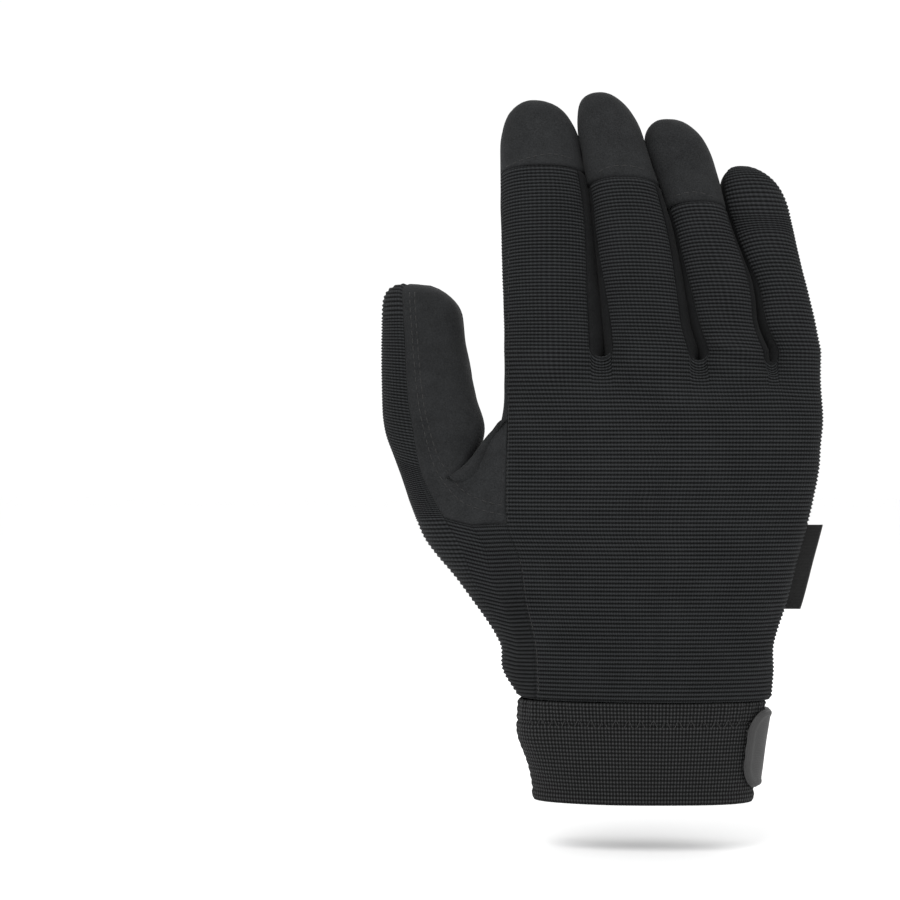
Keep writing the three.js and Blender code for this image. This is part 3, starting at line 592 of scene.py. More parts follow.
def side_columns(finger, side):
    """Angles at the root and at the cap, and lowest heights, of the columns on one side."""
    def top(which):
        index = stretch_index(which, finger)
        heights = stretch_grid(which, index, "knuckles", top_row)[0, :, 2]
        return heights, stretches_of[which][index]

    (back_z, back), (palm_z, palm) = top("back"), top("palm")
    share = {"back": back["columns"], "palm": palm["columns"], "right": columns["side"],
             "left": columns["index_outer" if finger == 0 else "side"]}[side]
    if side in ("back", "palm"):
        low = back_z if side == "back" else palm_z
    else:
        ends = (back_z[-1], palm_z[0]) if side == "right" else (palm_z[-1], back_z[0])
        low = mix(*ends, share)
    angles = []
    for place in ("back", "cap"):
        start, end = shape_of(finger, f"{place}_from"), shape_of(finger, f"{place}_to")
        palm_start, palm_end = shape_of(finger, "palm_from"), shape_of(finger, "palm_to")
        if place == "cap":
            palm_start = shape_of(finger, "cap_palm")
            palm_end = palm_end if finger == 0 else cap_palm_end
        span = {"back": (start, end), "right": (end, palm_start), "palm": (palm_start, palm_end),
                "left": (palm_end + 360, start)}[side]
        angles.append(mix(*span, share))
    return angles[0], angles[1], low


def finger_grid(finger, side, part, rows, tip_rows=None):
    """Side of a finger below its cap's seam, or above it up to the tip."""
    root_angle, cap_angle, low = (v[None, :] for v in side_columns(finger, side))
    tip = crotch_height + shape_of(finger, "length")
    base = tip - finger_tip_round
    shoulder = finger_oval(finger, base)
    angle = mix(root_angle, cap_angle, smooth(rows[:, None])) if part == "lower" else cap_angle
    lift = finger_tilt * np.sin(np.radians(angle)) * shoulder.values[3]
    cap = crotch_height + shape_of(finger, "cap") * shape_of(finger, "length")
    low, high = (low, cap + lift) if part == "lower" else (cap + lift, base)
    z = mix(low, high, rows[:, None])
    body = finger_oval(finger, z).at(angle, z)
    if part == "lower":
        return body
    top = dome(lambda z: finger_oval(finger, z), shape_of(finger, "apex") * palm_width, base,
               tip, finger_tilt, angle, even_rows(tip_rows)[1:, None])
    return np.concatenate([body, top])


def spanned(near, far, left, right):
    """Surface spanned by four boundary rows of points."""
    v = dense_ends(len(left) - 1)[:, None, None]
    u = dense_ends(len(near) - 1)[None, :, None]
    return (near[None] * (1 - v) + far[None] * v + left[:, None] * (1 - u) + right[:, None] * u
            - near[0] * (1 - u) * (1 - v) - near[-1] * u * (1 - v)
            - far[0] * (1 - u) * v - far[-1] * u * v)


class Cloth:
    """Grids of one panel, welded into one skin with its weave's coordinates."""

    def __init__(self):
        self.grids = []

    def add(self, points, weave=None):
        if weave is None:
            rows, across = points.shape[:2]
            weave = stacked(np.arange(across)[None, :], np.arange(rows)[:, None], 0.0)[..., :2]
        self.grids.append((points, weave))
        return self

    def welded(self):
        points = np.concatenate([p.reshape(-1, 3) for p, _ in self.grids])
        weave = np.concatenate([w.reshape(-1, 2) for _, w in self.grids])
        _, first, place = np.unique(
            np.round(points / weld_distance).astype(np.int64), axis=0,
            return_index=True, return_inverse=True)
        place = place.reshape(-1)
        quads = []
        start = 0
        for grid, _ in self.grids:
            rows, across = grid.shape[:2]
            ids = place[start:start + rows * across].reshape(rows, across)
            start += rows * across
            quads.append(np.stack(
                [ids[:-1, :-1], ids[:-1, 1:], ids[1:, 1:], ids[1:, :-1]], -1).reshape(-1, 4))
        return points[first], weave[first], np.concatenate(quads)


def normals_of(points, quads):
    a, b, c, d = (points[quads[:, k]] for k in range(4))
    face_normals = np.cross(c - a, d - b)
    normals = np.zeros_like(points)
    for k in range(4):
        np.add.at(normals, quads[:, k], face_normals)
    return normals / np.maximum(np.linalg.norm(normals, axis=1, keepdims=True), 1e-12)


def edge_points(points, quads):
    """Points on the open edges of a skin."""
    pairs = np.concatenate([quads[:, [0, 1]], quads[:, [1, 2]], quads[:, [2, 3]], quads[:, [3, 0]]])
    pairs = np.sort(pairs[pairs[:, 0] != pairs[:, 1]], axis=1)
    found, count = np.unique(pairs, axis=0, return_counts=True)
    return points[np.unique(found[count == 1])]


def distance_to(points, targets):
    tree = kdtree.KDTree(len(targets))
    for i, target in enumerate(targets):
        tree.insert(target, i)
    tree.balance()
    return np.array([tree.find(point)[2] for point in points])


def waves(points, size, seed):
    """Smooth random waves of about a given size, from -1 to 1."""
    shift = Vector([seed * step for step in wave_shift])
    return np.array([noise.noise(Vector(point) / size + shift) for point in points])


def ridge(points, start, end, width):
    """A long low ridge between two points, seen from the back or the palm."""
    start, end = np.array(start), np.array(end)
    way = end - start
    flat = points[:, [0, 2]]
    t = np.clip(((flat - start) @ way) / (way @ way), 0, 1)
    away = np.linalg.norm(flat - start - t[:, None] * way, axis=1)
    return np.exp(-(away / width) ** 2) * np.sin(
        math.pi * np.clip(t, ridge_end, 1 - ridge_end))


def make_object(name, points, faces, weave=None):
    mesh = bpy.data.meshes.new(name)
    mesh.from_pydata(points.tolist(), [], faces)
    mesh.polygons.foreach_set("use_smooth", [True] * len(mesh.polygons))
    if weave is not None:
        layer = mesh.uv_layers.new(name="weave")
        corners = np.empty(len(mesh.loops), dtype=np.int64)
        mesh.loops.foreach_get("vertex_index", corners)
        layer.data.foreach_set("uv", weave[corners].astype(np.float32).ravel())
    mesh.update()
    piece = bpy.data.objects.new(name, mesh)
    bpy.context.collection.objects.link(piece)
    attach(piece, "root")
    return piece


def faces_of(quads):
    """Quads as lists, with the folded ones at a fingertip turned into triangles."""
    faces = []
    for quad in quads.tolist():
        kept = [v for i, v in enumerate(quad) if v != quad[i - 1]]
        if len(set(kept)) == len(kept) and len(kept) > 2:
            faces.append(kept)
    return faces


def sew(name, cloth, material, nodes, wall, lift=0.0, roll=seam_roll,
        roll_width=seam_roll_width, relief=None):
    """Panel of cloth with rolled seams, over the solids that it stands for. relief gives more
    height for points, their places in the weave and their distances from the seams."""
    points, weave, quads = cloth.welded()
    normals = normals_of(points, quads)
    away = distance_to(points, edge_points(points, quads))
    height = lift - roll * (1 - smooth(away / roll_width)) ** 2
    if relief:
        height = height + relief(points, weave, away)
    piece = make_object(name, points + normals * height[:, None], faces_of(quads), weave)
    piece.data.materials.append(material)
    thick = piece.modifiers.new("wall", "SOLIDIFY")
    thick.thickness = wall
    thick.offset = -1
    if nodes:
        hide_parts(*nodes)
    return piece


class Value:
    """Output of a shader node that can be used in sums and products."""

    def __init__(self, material, socket):
        self.material = material
        self.socket = socket

    def math(self, operation, *others):
        return self.material.node("ShaderNodeMath", {"operation": operation}, self, *others)

    def __add__(self, other):
        return self.math("ADD", other)

    def __mul__(self, other):
        return self.math("MULTIPLY", other)

    __radd__ = __add__
    __rmul__ = __mul__

    def wave(self):
        """Cosine with one period for each whole number, from 0 to 1."""
        return (self * (2 * math.pi)).math("COSINE") * 0.5 + 0.5

    def within(self, low, high):
        return self.material.node(
            "ShaderNodeMapRange", {"interpolation_type": "SMOOTHSTEP"}, self, low, high)


class Surface:
    """Material of one principled shader and the nodes that feed it."""

    def __init__(self, name, roughness, sheen=0.0, specular=0.3):
        self.data = bpy.data.materials.new(name)
        self.data.use_nodes = True
        self.tree = self.data.node_tree
        self.shader = self.tree.nodes["Principled BSDF"]
        self.shader.inputs["Roughness"].default_value = roughness
        self.shader.inputs["Sheen Weight"].default_value = sheen
        self.shader.inputs["Sheen Roughness"].default_value = 0.5
        self.shader.inputs["Specular IOR Level"].default_value = specular

    def node(self, kind, settings, *values, output=0, **named):
        """New node. Values go to its inputs in order, named ones by name."""
        made = self.tree.nodes.new(kind)
        for key, value in settings.items():
            setattr(made, key, value)
        for socket, value in list(zip(made.inputs, values)) + [
                (made.inputs[key], value) for key, value in named.items()]:
            if isinstance(value, Value):
                self.tree.links.new(value.socket, socket)
            elif value is not None:
                socket.default_value = value
        return Value(self, made.outputs[output])

    def weave(self):
        """Counts of wales and ribs at a point of the cloth."""
        place = self.node("ShaderNodeUVMap", {"uv_map": "weave"})
        return (self.node("ShaderNodeSeparateXYZ", {}, place, output=0),
                self.node("ShaderNodeSeparateXYZ", {}, place, output=1))

    def place(self):
        """Place in the piece's own space."""
        return self.node("ShaderNodeTexCoord", {}, output=3)

    def cloud(self, size, detail=2.0):
        return self.node("ShaderNodeTexNoise", {}, Vector=self.place(), Scale=1 / size,
                         Detail=detail)

    def colour(self, share, low, high):
        inputs_of_other_types = [None] * 5
        return self.node("ShaderNodeMix", {"data_type": "RGBA"}, share, *inputs_of_other_types,
                         (*low, 1), (*high, 1), output=2)

    def finish(self, colour, height, depth, roughness=None):
        links = self.tree.links
        links.new(colour.socket, self.shader.inputs["Base Color"])
        bump = self.node("ShaderNodeBump", {}, Height=height, Distance=depth, Strength=1.0)
        links.new(bump.socket, self.shader.inputs["Normal"])
        if roughness is not None:
            links.new(roughness.socket, self.shader.inputs["Roughness"])
        return self.data


def grey(value, tint=0.0):
    """Linear colour of an sRGB grey, a little cooler with tint."""
    level = ((value / 255 + 0.055) / 1.055) ** 2.4
    return (level * (1 - tint), level, level * (1 + tint))


def knit_material():
    surface = Surface("ribbed_knit", roughness=0.9, sheen=0.02, specular=0.08)
    wale, rib = surface.weave()
    crest = rib.wave()
    loops = wale.wave()
    fuzz = surface.cloud(0.0005)
    patchy = surface.cloud(0.012)
    # Rib crests are painted lighter than the troughs between them: painted shade in the troughs. The
    # wales, the fuzz and the patches are the yarn's own tone.
    rib_shade_and_tone = (crest * 0.65 + loops * 0.16 + loops * crest * 0.14 + fuzz * 0.25
             + patchy * 0.2).within(0.15, 1.3)
    height = loops * (crest * 0.5 + 0.3) + fuzz * 0.5
    return surface.finish(surface.colour(rib_shade_and_tone, grey(8, 0.03), grey(51, 0.05)), height, 0.00025)


def suede_material(name="suede", low=22, high=50):
    surface = Surface(name, roughness=0.9, sheen=0.03, specular=0.08)
    nap = surface.cloud(0.00045, detail=3.0)
    brushed = surface.cloud(0.006)
    wide = surface.cloud(0.03)
    shade = (nap * 0.6 + brushed * 0.22 + wide * 0.18).within(0.2, 0.9)
    height = nap + brushed * 0.6
    return surface.finish(surface.colour(shade, grey(low, 0.04), grey(high, 0.04)), height, 0.00018)


def elastic_material():
    surface = Surface("woven_elastic", roughness=0.85, sheen=0.02, specular=0.1)
    across, up = surface.weave()
    cords = across.wave()
    picks = up.wave()
    fuzz = surface.cloud(0.0006)
    shade = (cords * 0.25 + picks * 0.3 + cords * picks * 0.3 + fuzz * 0.3).within(0.2, 1.1)
    height = cords * 0.7 + picks * cords * 0.8 + fuzz * 0.3
    return surface.finish(surface.colour(shade, grey(7), grey(62, 0.02)), height, 0.0003)


def strap_material():
    surface = Surface("grey_strap", roughness=0.6, specular=0.4)
    across, up = surface.weave()
    grain = across.wave() * up.wave()
    fuzz = surface.cloud(0.0008, detail=3.0)
    wide = surface.cloud(0.02)
    shade = (grain * 0.3 + fuzz * 0.4 + wide * 0.4).within(0.2, 0.9)
    return surface.finish(surface.colour(shade, grey(38), grey(58)), grain * 0.6 + fuzz, 0.00012,
                          roughness=fuzz * 0.25 + 0.5)


def dots_material():
    surface = Surface("grip_dots", roughness=0.5, specular=0.4)
    nap = surface.cloud(0.0006, detail=3.0)
    return surface.finish(surface.colour(nap, grey(38, 0.02), grey(68, 0.02)), nap, 0.0001,
                          roughness=nap * 0.3 + 0.35)


def tag_material():
    surface = Surface("woven_tag", roughness=0.7, sheen=0.1, specular=0.3)
    across, up = surface.weave()
    ribs_up = up.wave()
    threads = (across + up.math("FLOOR") * 0.5).wave()
    shade = (ribs_up * 0.5 + threads * 0.5).within(0.0, 1.2)
    return surface.finish(surface.colour(shade, grey(8), grey(32)), ribs_up + threads * 0.6,
                          0.00015)


def thread_material(name, low, high):
    surface = Surface(name, roughness=0.55, sheen=0.05, specular=0.3)
    fuzz = surface.cloud(0.0002)
    return surface.finish(surface.colour(fuzz, grey(low), grey(high)), fuzz, 0.00005)


knit = knit_material()
suede = suede_material()
# A darker copy of the suede for the strips between the fingers: painted shade where the fingers shade
# each other's sides.
shaded_side_suede = suede_material("shaded_side_suede", 14, 32)
elastic = elastic_material()
strap_cloth = strap_material()
patch_cloth = suede_material("patch_ground", 16, 42)
dotted = dots_material()
tag_cloth = tag_material()
dark_thread = thread_material("dark_thread", 12, 38)


def rib_count(length):
    return max(4, round(length / finger_rib_pitch))


def zone_rib_count(zone):
    """Ribs in one zone, from its height halfway across the back."""
    at = mix_levels("back_left", "back_right", 0.5)
    height = row_height(zone, 1.0, at) - row_height(zone, 0.0, at)
    return math.ceil(height / rib_pitch)


zone_ribs = {zone: zone_rib_count(zone) for zone in ("lower", "patch", "knuckles")}
zone_start = {"lower": 0, "patch": zone_ribs["lower"],
              "knuckles": zone_ribs["lower"] + zone_ribs["patch"]}
fingers_start = sum(zone_ribs.values())
suede_rows = {"lower": 48, "patch": 28, "knuckles": 20}
finger_tip_ribs = 18


def zone_rows(zone, fine):
    count = zone_ribs[zone] * rows_per_rib if fine else suede_rows[zone]
    return np.linspace(0, 1, count + 1)


def weave_grid(ribs_up, wales_across):
    return stacked(wales_across[None, :], ribs_up[:, None], 0.0)[..., :2]


def stretch_wales(side):
    """Counts of wales at each column, from left to right over the whole row."""
    counts = []
    start = 0.0
    for index in range(len(stretches_of[side])):
        row = stretch_grid(side, index, "knuckles", first_row)[0]
        line = start + lengths_along(row) / wale_pitch
        counts.append(line)
        start = line[-1]
    return counts


def add_hand(cloth, side, fine):
    wales = stretch_wales(side)
    for index in range(len(stretches_of[side])):
        for zone, start in zone_start.items():
            rows = zone_rows(zone, fine)
            grid = stretch_grid(side, index, zone, rows)
            cloth.add(grid, weave_grid(start + rows * zone_ribs[zone], wales[index]))
    return wales


def finger_ribs(finger):
    """Ribs below the cap's seam, from there to the shoulder, and over the tip."""
    length = shape_of(finger, "length")
    cap = shape_of(finger, "cap") * length
    return rib_count(cap), rib_count(length - finger_tip_round - cap), finger_tip_ribs


def add_finger(cloth, finger, side, parts, fine=False, wales=None):
    lower, cap, tip = finger_ribs(finger)
    per_rib = rows_per_rib if fine else 1
    if "lower" in parts:
        rows = np.linspace(0, 1, lower * per_rib + 1)
        grid = finger_grid(finger, side, "lower", rows)
        across = wales if wales is not None else np.arange(grid.shape[1])
        cloth.add(grid, weave_grid(fingers_start + rows * lower, across))
    if "cap" in parts:
        rows = np.linspace(0, 1, cap * per_rib + 1)
        tip_rows = np.linspace(0, 1, tip * per_rib + 1)
        grid = finger_grid(finger, side, "cap", rows, tip_rows)
        across = wales if wales is not None else np.arange(grid.shape[1])
        up = np.concatenate([rows * cap, cap + tip_rows[1:] * tip])
        cloth.add(grid, weave_grid(fingers_start + lower + up, across))


# Wrinkles of the knit over the back, from one point to another in X and Z: at the roots of the
# fingers, over the knuckles and above the cuff
back_folds = table(
    "from_x from_z to_x to_z width height",
    [0.020, 0.158, 0.044, 0.149, 0.0020, 0.0016],
    [0.018, 0.151, 0.050, 0.142, 0.0024, 0.0015],
    [0.026, 0.141, 0.058, 0.137, 0.0028, 0.0011],
    [-0.012, 0.152, 0.006, 0.149, 0.0028, 0.0007],
    [-0.040, 0.146, -0.016, 0.149, 0.0035, 0.0006],
    [-0.034, 0.050, 0.004, 0.046, 0.0035, 0.0008],
    [0.006, 0.041, 0.042, 0.046, 0.0030, 0.0009],
    [-0.030, 0.039, 0.000, 0.038, 0.0022, 0.0007],
    [0.030, 0.060, 0.046, 0.066, 0.0035, 0.0007],
)
palm_folds = table(
    "from_x from_z to_x to_z width height",
    [-0.046, 0.150, -0.020, 0.146, 0.0030, 0.0012],
    [-0.014, 0.144, 0.022, 0.142, 0.0032, 0.0013],
    [0.020, 0.140, 0.052, 0.136, 0.0034, 0.0012],
    [-0.050, 0.062, -0.026, 0.104, 0.0060, 0.0016],
    [-0.020, 0.056, 0.020, 0.062, 0.0050, 0.0011],
    [0.030, 0.080, 0.048, 0.110, 0.0060, 0.0010],
    [-0.066, 0.098, -0.050, 0.120, 0.0030, 0.0012],
    [-0.038, 0.176, -0.026, 0.177, 0.0022, 0.0009],
    [-0.040, 0.198, -0.028, 0.199, 0.0020, 0.0008],
    [-0.008, 0.178, 0.006, 0.177, 0.0022, 0.0009],
    [0.020, 0.172, 0.034, 0.171, 0.0022, 0.0008],
    [-0.082, 0.132, -0.066, 0.134, 0.0024, 0.0010],
)

# The thumb's inner side is hollow where nothing fills it
thumb_hollow = table(
    "from_x from_z to_x to_z width height",
    [-0.0530, 0.170, -0.0470, 0.122, 0.0048, -0.0036],
)


def folds(rows, points):
    height = np.zeros(len(points))
    for i in range(len(rows["height"])):
        height += rows["height"][i] * ridge(
            points, (rows["from_x"][i], rows["from_z"][i]), (rows["to_x"][i], rows["to_z"][i]),
            rows["width"][i])
    return height


# Slow waves and small ones of each cloth: size, seed and height
knit_waves = ((0.022, 1, 0.0006), (0.007, 2, 0.00012))
suede_waves = ((0.024, 3, 0.0007), (0.008, 4, 0.0003))
cuff_waves = ((0.02, 5, 0.0007),)
strap_waves = ((0.016, 6, 0.0004),)
pad_waves = ((0.018, 7, 0.0003),)


def all_waves(points, kinds):
    return sum(waves(points, size, seed) * height for size, seed, height in kinds)


# Distances over which reliefs fade in: from the seams, and from the middle plane of the glove
rib_fade = 0.0016
fold_fade = 0.002
suede_fade = 0.003
hollow_fade = 0.004
back_fade = 0.008
palm_fade = 0.006
thumb_fade = 0.003


def knit_relief(points, weave, away):
    """Rounded ribs that fade into the seams, over slow waves of the cloth."""
    ribs = rib_height * np.cos(2 * math.pi * weave[:, 1]) * smooth(away / rib_fade)
    creases = folds(back_folds, points) * smooth(-points[:, 1] / back_fade)
    return ribs + all_waves(points, knit_waves) + creases * smooth(away / fold_fade)


def suede_relief(points, weave, away):
    creases = folds(palm_folds, points) * smooth(points[:, 1] / palm_fade)
    return (all_waves(points, suede_waves) + creases) * smooth(away / suede_fade)


def wrap_relief(points, weave, away):
    hollow = folds(thumb_hollow, points) * smooth(-points[:, 1] / thumb_fade)
    return suede_relief(points, weave, away) + hollow * smooth(away / hollow_fade)


# Panels of the hand, the fingers and the thumb
def sew_back():
    cloth = Cloth()
    wales = add_hand(cloth, "back", True)
    for index, stretch in enumerate(stretches_of["back"]):
        finger = stretch["finger"]
        if finger is not None:
            parts = ("lower", "cap") if finger_names[finger] == "pinky" else ("lower",)
            add_finger(cloth, finger, "back", parts, True, wales[index])
    return sew("back_knit", cloth, knit, ["back_panel"], knit_wall, relief=knit_relief)


thumb_ribs = rib_count(thumb_length - thumb_tip_round)
thumb_tip_ribs = 10
wales_per_column = 0.9


def thumb_rows(fine):
    per_rib = rows_per_rib if fine else 1
    return (np.linspace(0, 1, thumb_ribs * per_rib + 1),
            np.linspace(0, 1, thumb_tip_ribs * per_rib + 1))


def add_thumb(cloth, name, zones, fine=False):
    kind = {"palm_web": "thumb_web", "back_web": "thumb_web"}.get(name) or thumb_spans[name][4]
    across = columns[kind] * len(columns[kind]) * wales_per_column
    for zone in zones:
        if zone == "free":
            rows, tip_rows = thumb_rows(fine)
            up = np.concatenate([rows * thumb_ribs, thumb_ribs + tip_rows[1:] * thumb_tip_ribs])
            cloth.add(free_thumb_grid(name, rows, tip_rows),
                      weave_grid(zone_start["knuckles"] + up, across))
        else:
            rows = zone_rows(zone, fine)
            cloth.add(thumb_grid(name, zone, rows),
                      weave_grid(zone_start[zone] + rows * zone_ribs[zone], across))


def sew_thumb_knit():
    cloth = Cloth()
    add_thumb(cloth, "knit", ("lower", "patch", "free"), True)
    add_thumb(cloth, "edge", ("lower",), True)
    add_thumb(cloth, "back_web", ("lower",), True)
    return sew("thumb_knit", cloth, knit, ["thumb_back_panel"], knit_wall,
               relief=knit_relief)


def sew_palm():
    cloth = Cloth()
    add_hand(cloth, "palm", False)
    cloth.add(index_side_grid(zone_rows("knuckles", False)))
    add_thumb(cloth, "palm_web", ("lower", "patch"))
    add_thumb(cloth, "palm", ("lower", "patch", "free"))
    for finger in range(len(finger_names)):
        add_finger(cloth, finger, "palm", ("lower", "cap"))
    add_finger(cloth, 0, "left", ("lower", "cap"))
    return sew("palm_suede", cloth, suede, ["palm_panel"], suede_wall,
               relief=suede_relief)


def sew_thumb_wrap():
    """Suede round the thumb's inner side and over the crotch beside the index finger."""
    cloth = Cloth()
    add_thumb(cloth, "edge", ("patch", "free"))
    add_thumb(cloth, "back_web", ("patch",))
    add_thumb(cloth, "inner", ("free",))
    cloth.add(spanned(
        thumb_grid("back_web", "patch", top_row)[0],
        thumb_grid("palm_web", "patch", top_row)[0][::-1],
        free_thumb_grid("inner", first_row, first_row)[0],
        index_side_grid(first_row)[0][::-1],
    ))
    return sew("thumb_wrap", cloth, suede, ["thumb_wrap_panel"], suede_wall,
               relief=wrap_relief)


def sew_cap(finger):
    """Cap over the back and the sides of a fingertip. The palm covers the index's outer side."""
    cloth = Cloth()
    add_finger(cloth, finger, "back", ("cap",))
    add_finger(cloth, finger, "right", ("cap",))
    if finger_names[finger] != "index":
        add_finger(cloth, finger, "left", ("cap",))
    name = finger_names[finger]
    return sew(f"{name}_cap", cloth, suede, [f"{name}_fingertip_cap"], suede_wall,
               relief=suede_relief)


def sew_side_strip(finger):
    """Strip up one finger, over the bottom of the slit and up the next finger."""
    cloth = Cloth()
    following = finger + 1
    add_finger(cloth, finger, "right", ("lower",))
    add_finger(cloth, following, "left",
               ("lower", "cap") if finger_names[following] == "pinky" else ("lower",))
    cloth.add(spanned(
        stretch_grid("back", stretch_index("back", finger) + 1, "knuckles", top_row)[0],
        stretch_grid("palm", stretch_index("palm", following) + 1, "knuckles", top_row)[0][::-1],
        finger_grid(finger, "right", "lower", first_row)[0],
        finger_grid(following, "left", "lower", first_row)[0][::-1],
    ))
    pair = f"{finger_names[finger]}_{finger_names[following]}"
    # The strips take the darker suede: painted shade between the fingers.
    sew(f"side_strip_{pair}", cloth, shaded_side_suede, [f"fourchette_{pair}"], suede_wall,
        relief=suede_relief)


back_knit = sew_back()
sew_thumb_knit()
palm_suede = sew_palm()
thumb_wrap = sew_thumb_wrap()
caps = [sew_cap(finger) for finger in range(3)]
for finger in range(3):
    sew_side_strip(finger)


# Cuff
def cuff_oval(z):
    share = np.clip(z / cuff_height, 0, 1)
    return Oval(0.0, 0.0, mix(cuff_rim_width, cuff_top_width, share) / 2,
                mix(cuff_rim_depth, cuff_top_depth, share) / 2,
                hand_sections["boxiness"][0])


metres_per_degree = math.radians((cuff_top_width + cuff_top_depth) / 4)
vent_from = pinky_seam_angle - vent_half_angle
cuff_columns = 300
cuff_rows = 52
cuff_roll = 0.0007
cuff_roll_width = 0.0016


def band_grid(start, end, across, heights, oval_at=cuff_oval):
    """Strip round the cuff between two angles. heights holds a column for each place."""
    angle = np.broadcast_to(mix(start, end, across[None, :]), heights.shape)
    return oval_at(heights).at(angle, heights)


def heights_between(low, high, up, across):
    """Heights of rows between two edges, the same all the way across."""
    return np.repeat(mix(low, high, up)[:, None], len(across), 1)


def hump(value, middle, width):
    """Rounded hump from 0 to 1 and back to 0, about a middle."""
    return np.exp(-((value - middle) / width) ** 2)


# Gathers under the knit's hem, the channel of the zigzag, the turned rim, the woven cords and the
# bulge beside the strap
gather_pitch = 0.0043
gather_height = 0.00035
gather_fade = 7
channel_at = 0.0272
channel_width = 0.0007
channel_depth = 0.0004
rim_top = 0.004
rim_fade = 0.003
rim_height = 0.0005
cord_height = 0.00014
picks_per_cord = 2
bulge_at = 0.0235
bulge_width = 0.0085
bulge_height = 0.0024
bulge_from = -0.026
bulge_fade = 0.012


def cuff_relief(points, weave, away):
    x, z = points[:, 0], points[:, 2]
    around = weave[:, 0] * elastic_cord
    below_hem = (cuff_height - z) / cuff_height
    gathers = (gather_height * np.cos(2 * math.pi * around / gather_pitch)
               * np.exp(-below_hem * gather_fade))
    channel = -channel_depth * hump(z, channel_at, channel_width)
    rim = rim_height * smooth((rim_top - z) / rim_fade)
    cords = cord_height * np.cos(2 * math.pi * weave[:, 1] / picks_per_cord)
    bulge = bulge_height * hump(z, bulge_at, bulge_width) * smooth((bulge_from - x) / bulge_fade)
    return gathers + channel + rim + cords + bulge + all_waves(points, cuff_waves)


def sew_cuff():
    across, up = np.linspace(0, 1, cuff_columns), dense_ends(cuff_rows)
    turn = 360 - 2 * vent_half_angle
    grid = band_grid(vent_from, vent_from - turn, across,
                     heights_between(0, cuff_height, up, across))
    weave = weave_grid(up * cuff_height / elastic_pick, lengths_along(grid[0]) / elastic_cord)
    return sew("cuff", Cloth().add(grid, weave), elastic, ["cuff_band"], elastic_wall,
               relief=cuff_relief, roll=cuff_roll, roll_width=cuff_roll_width)


cuff = sew_cuff()

# Strap and the pad on its end
band_columns = 150
band_rows = 44
band_roll_width = 0.0012
strap_roll = 0.0009
pad_roll = 0.0008
strap_lift = seam_gap + strap_wall
pad_lift = strap_lift + pad_rise
end_roundness = 0.94
hem_inset = 0.0016
hem_width = 0.0008
hem_height = 0.00035
groove_width = 0.0005
groove_depth = 0.0005
pad_crown_width = 0.006
pad_crown = 0.0004


def rounded_half(height, radius, from_end):
    """Half of a band's height near its rounded end."""
    missing = np.clip((radius - from_end) / radius, 0, 1)
    return height / 2 - radius + radius * np.sqrt(1 - missing ** 2 * end_roundness)


def rounded_band(start, end, height, radius, across, up):
    span = abs(end - start) * metres_per_degree
    from_end = np.minimum(across, 1 - across) * span
    half = rounded_half(height, radius, from_end)
    return band_grid(start, end, across, strap_middle + half[None, :] * (2 * up[:, None] - 1))


def strap_relief(points, weave, away):
    return hem_height * hump(away, hem_inset, hem_width) + all_waves(points, strap_waves)


def pad_relief(points, weave, away):
    sunk = -groove_depth * hump(away, hem_inset, groove_width)
    return sunk + pad_crown * smooth(away / pad_crown_width) + all_waves(points, pad_waves)


def sew_band(name, start, end, height, lift, wall, node, relief, roll):
    across, up = dense_ends(band_columns), dense_ends(band_rows)
    grid = rounded_band(start, end, height, strap_corner, across, up)
    weave = weave_grid(up * height / strap_grain,
                       across * abs(end - start) * metres_per_degree / strap_grain)
    return sew(name, Cloth().add(grid, weave), strap_cloth, [node], wall, lift=lift,
               relief=relief, roll=roll, roll_width=band_roll_width)


sew_band("strap", strap_from, strap_to, strap_height, strap_lift, strap_wall, "closure_strap",
         strap_relief, strap_roll)
sew_band("stitched_pad", pad_from, pad_to, pad_height, pad_lift, pad_wall, "strap_pad",
         pad_relief, pad_roll)

# Tape along the vent's palm edge, and the dark knit folded behind the vent. Overlaps are in degrees.
tape_up = dense_ends(30)
tape_across = dense_ends(14)
tape_foot = 0.030
tape_overlap = 1.0
tape_bend = 0.001
tape_lift = 0.0010
tape_roll_width = 0.001
tape_picks = 30
tape_cords = 9
fold_foot = -0.0002
fold_top_gap = 0.002
fold_overlap = 6
fold_wall = 0.0008
fold_depth = 0.0016
fold_ribs = 30
fold_wales = 10


def side_oval(z):
    """Oval of the cuff, and of the hand above it."""
    low, high = cuff_oval(z).values, hand_oval(np.maximum(z, cuff_top)).values
    share = smooth((z - cuff_top + tape_bend) / (2 * tape_bend))
    return Oval(*(mix(a, b, share) for a, b in zip(low, high)))


tape_grid = band_grid(vent_from + tape_overlap, vent_from - binding_width / metres_per_degree,
                      tape_across, heights_between(tape_foot, vent_height, tape_up, tape_across),
                      side_oval)


def sew_tape():
    cloth = Cloth().add(tape_grid, weave_grid(tape_up * tape_picks, tape_across * tape_cords))
    sew("vent_tape", cloth, strap_cloth, ["vent_binding"], tape_wall, lift=tape_lift,
        roll_width=tape_roll_width)


def sew_vent_fold():
    up, across = dense_ends(24), dense_ends(10)
    half_angle = vent_half_angle + fold_overlap
    grid = band_grid(pinky_seam_angle + half_angle, pinky_seam_angle - half_angle, across,
                     heights_between(fold_foot, vent_height - fold_top_gap, up, across), side_oval)
    sew("vent_fold", Cloth().add(grid, weave_grid(up * fold_ribs, across * fold_wales)), knit,
        [], fold_wall, lift=-fold_depth, roll=0.0)


sew_tape()
sew_vent_fold()

# Threads and dots that are laid on the pieces. A side is the sign of Y.
back_side = -1
palm_side = 1
ray_start = 0.1
stitch_step = 0.0026
stitch_gap = 0.0005
gap_share = 0.1
short_step = 0.0022
thread_radius = 0.00022
thin_radius = 0.00018
thread_sink = 0.00005
stitch_sides = 6
# Places along a stitch as shares of its length, with its thickness and height in thread radii
stitch_profile = ((0.0, 0.45, -1.1), (0.12, 0.85, -0.2), (0.35, 1.0, 0.35),
                  (0.65, 1.0, 0.35), (0.88, 0.85, -0.2), (1.0, 0.45, -1.1))


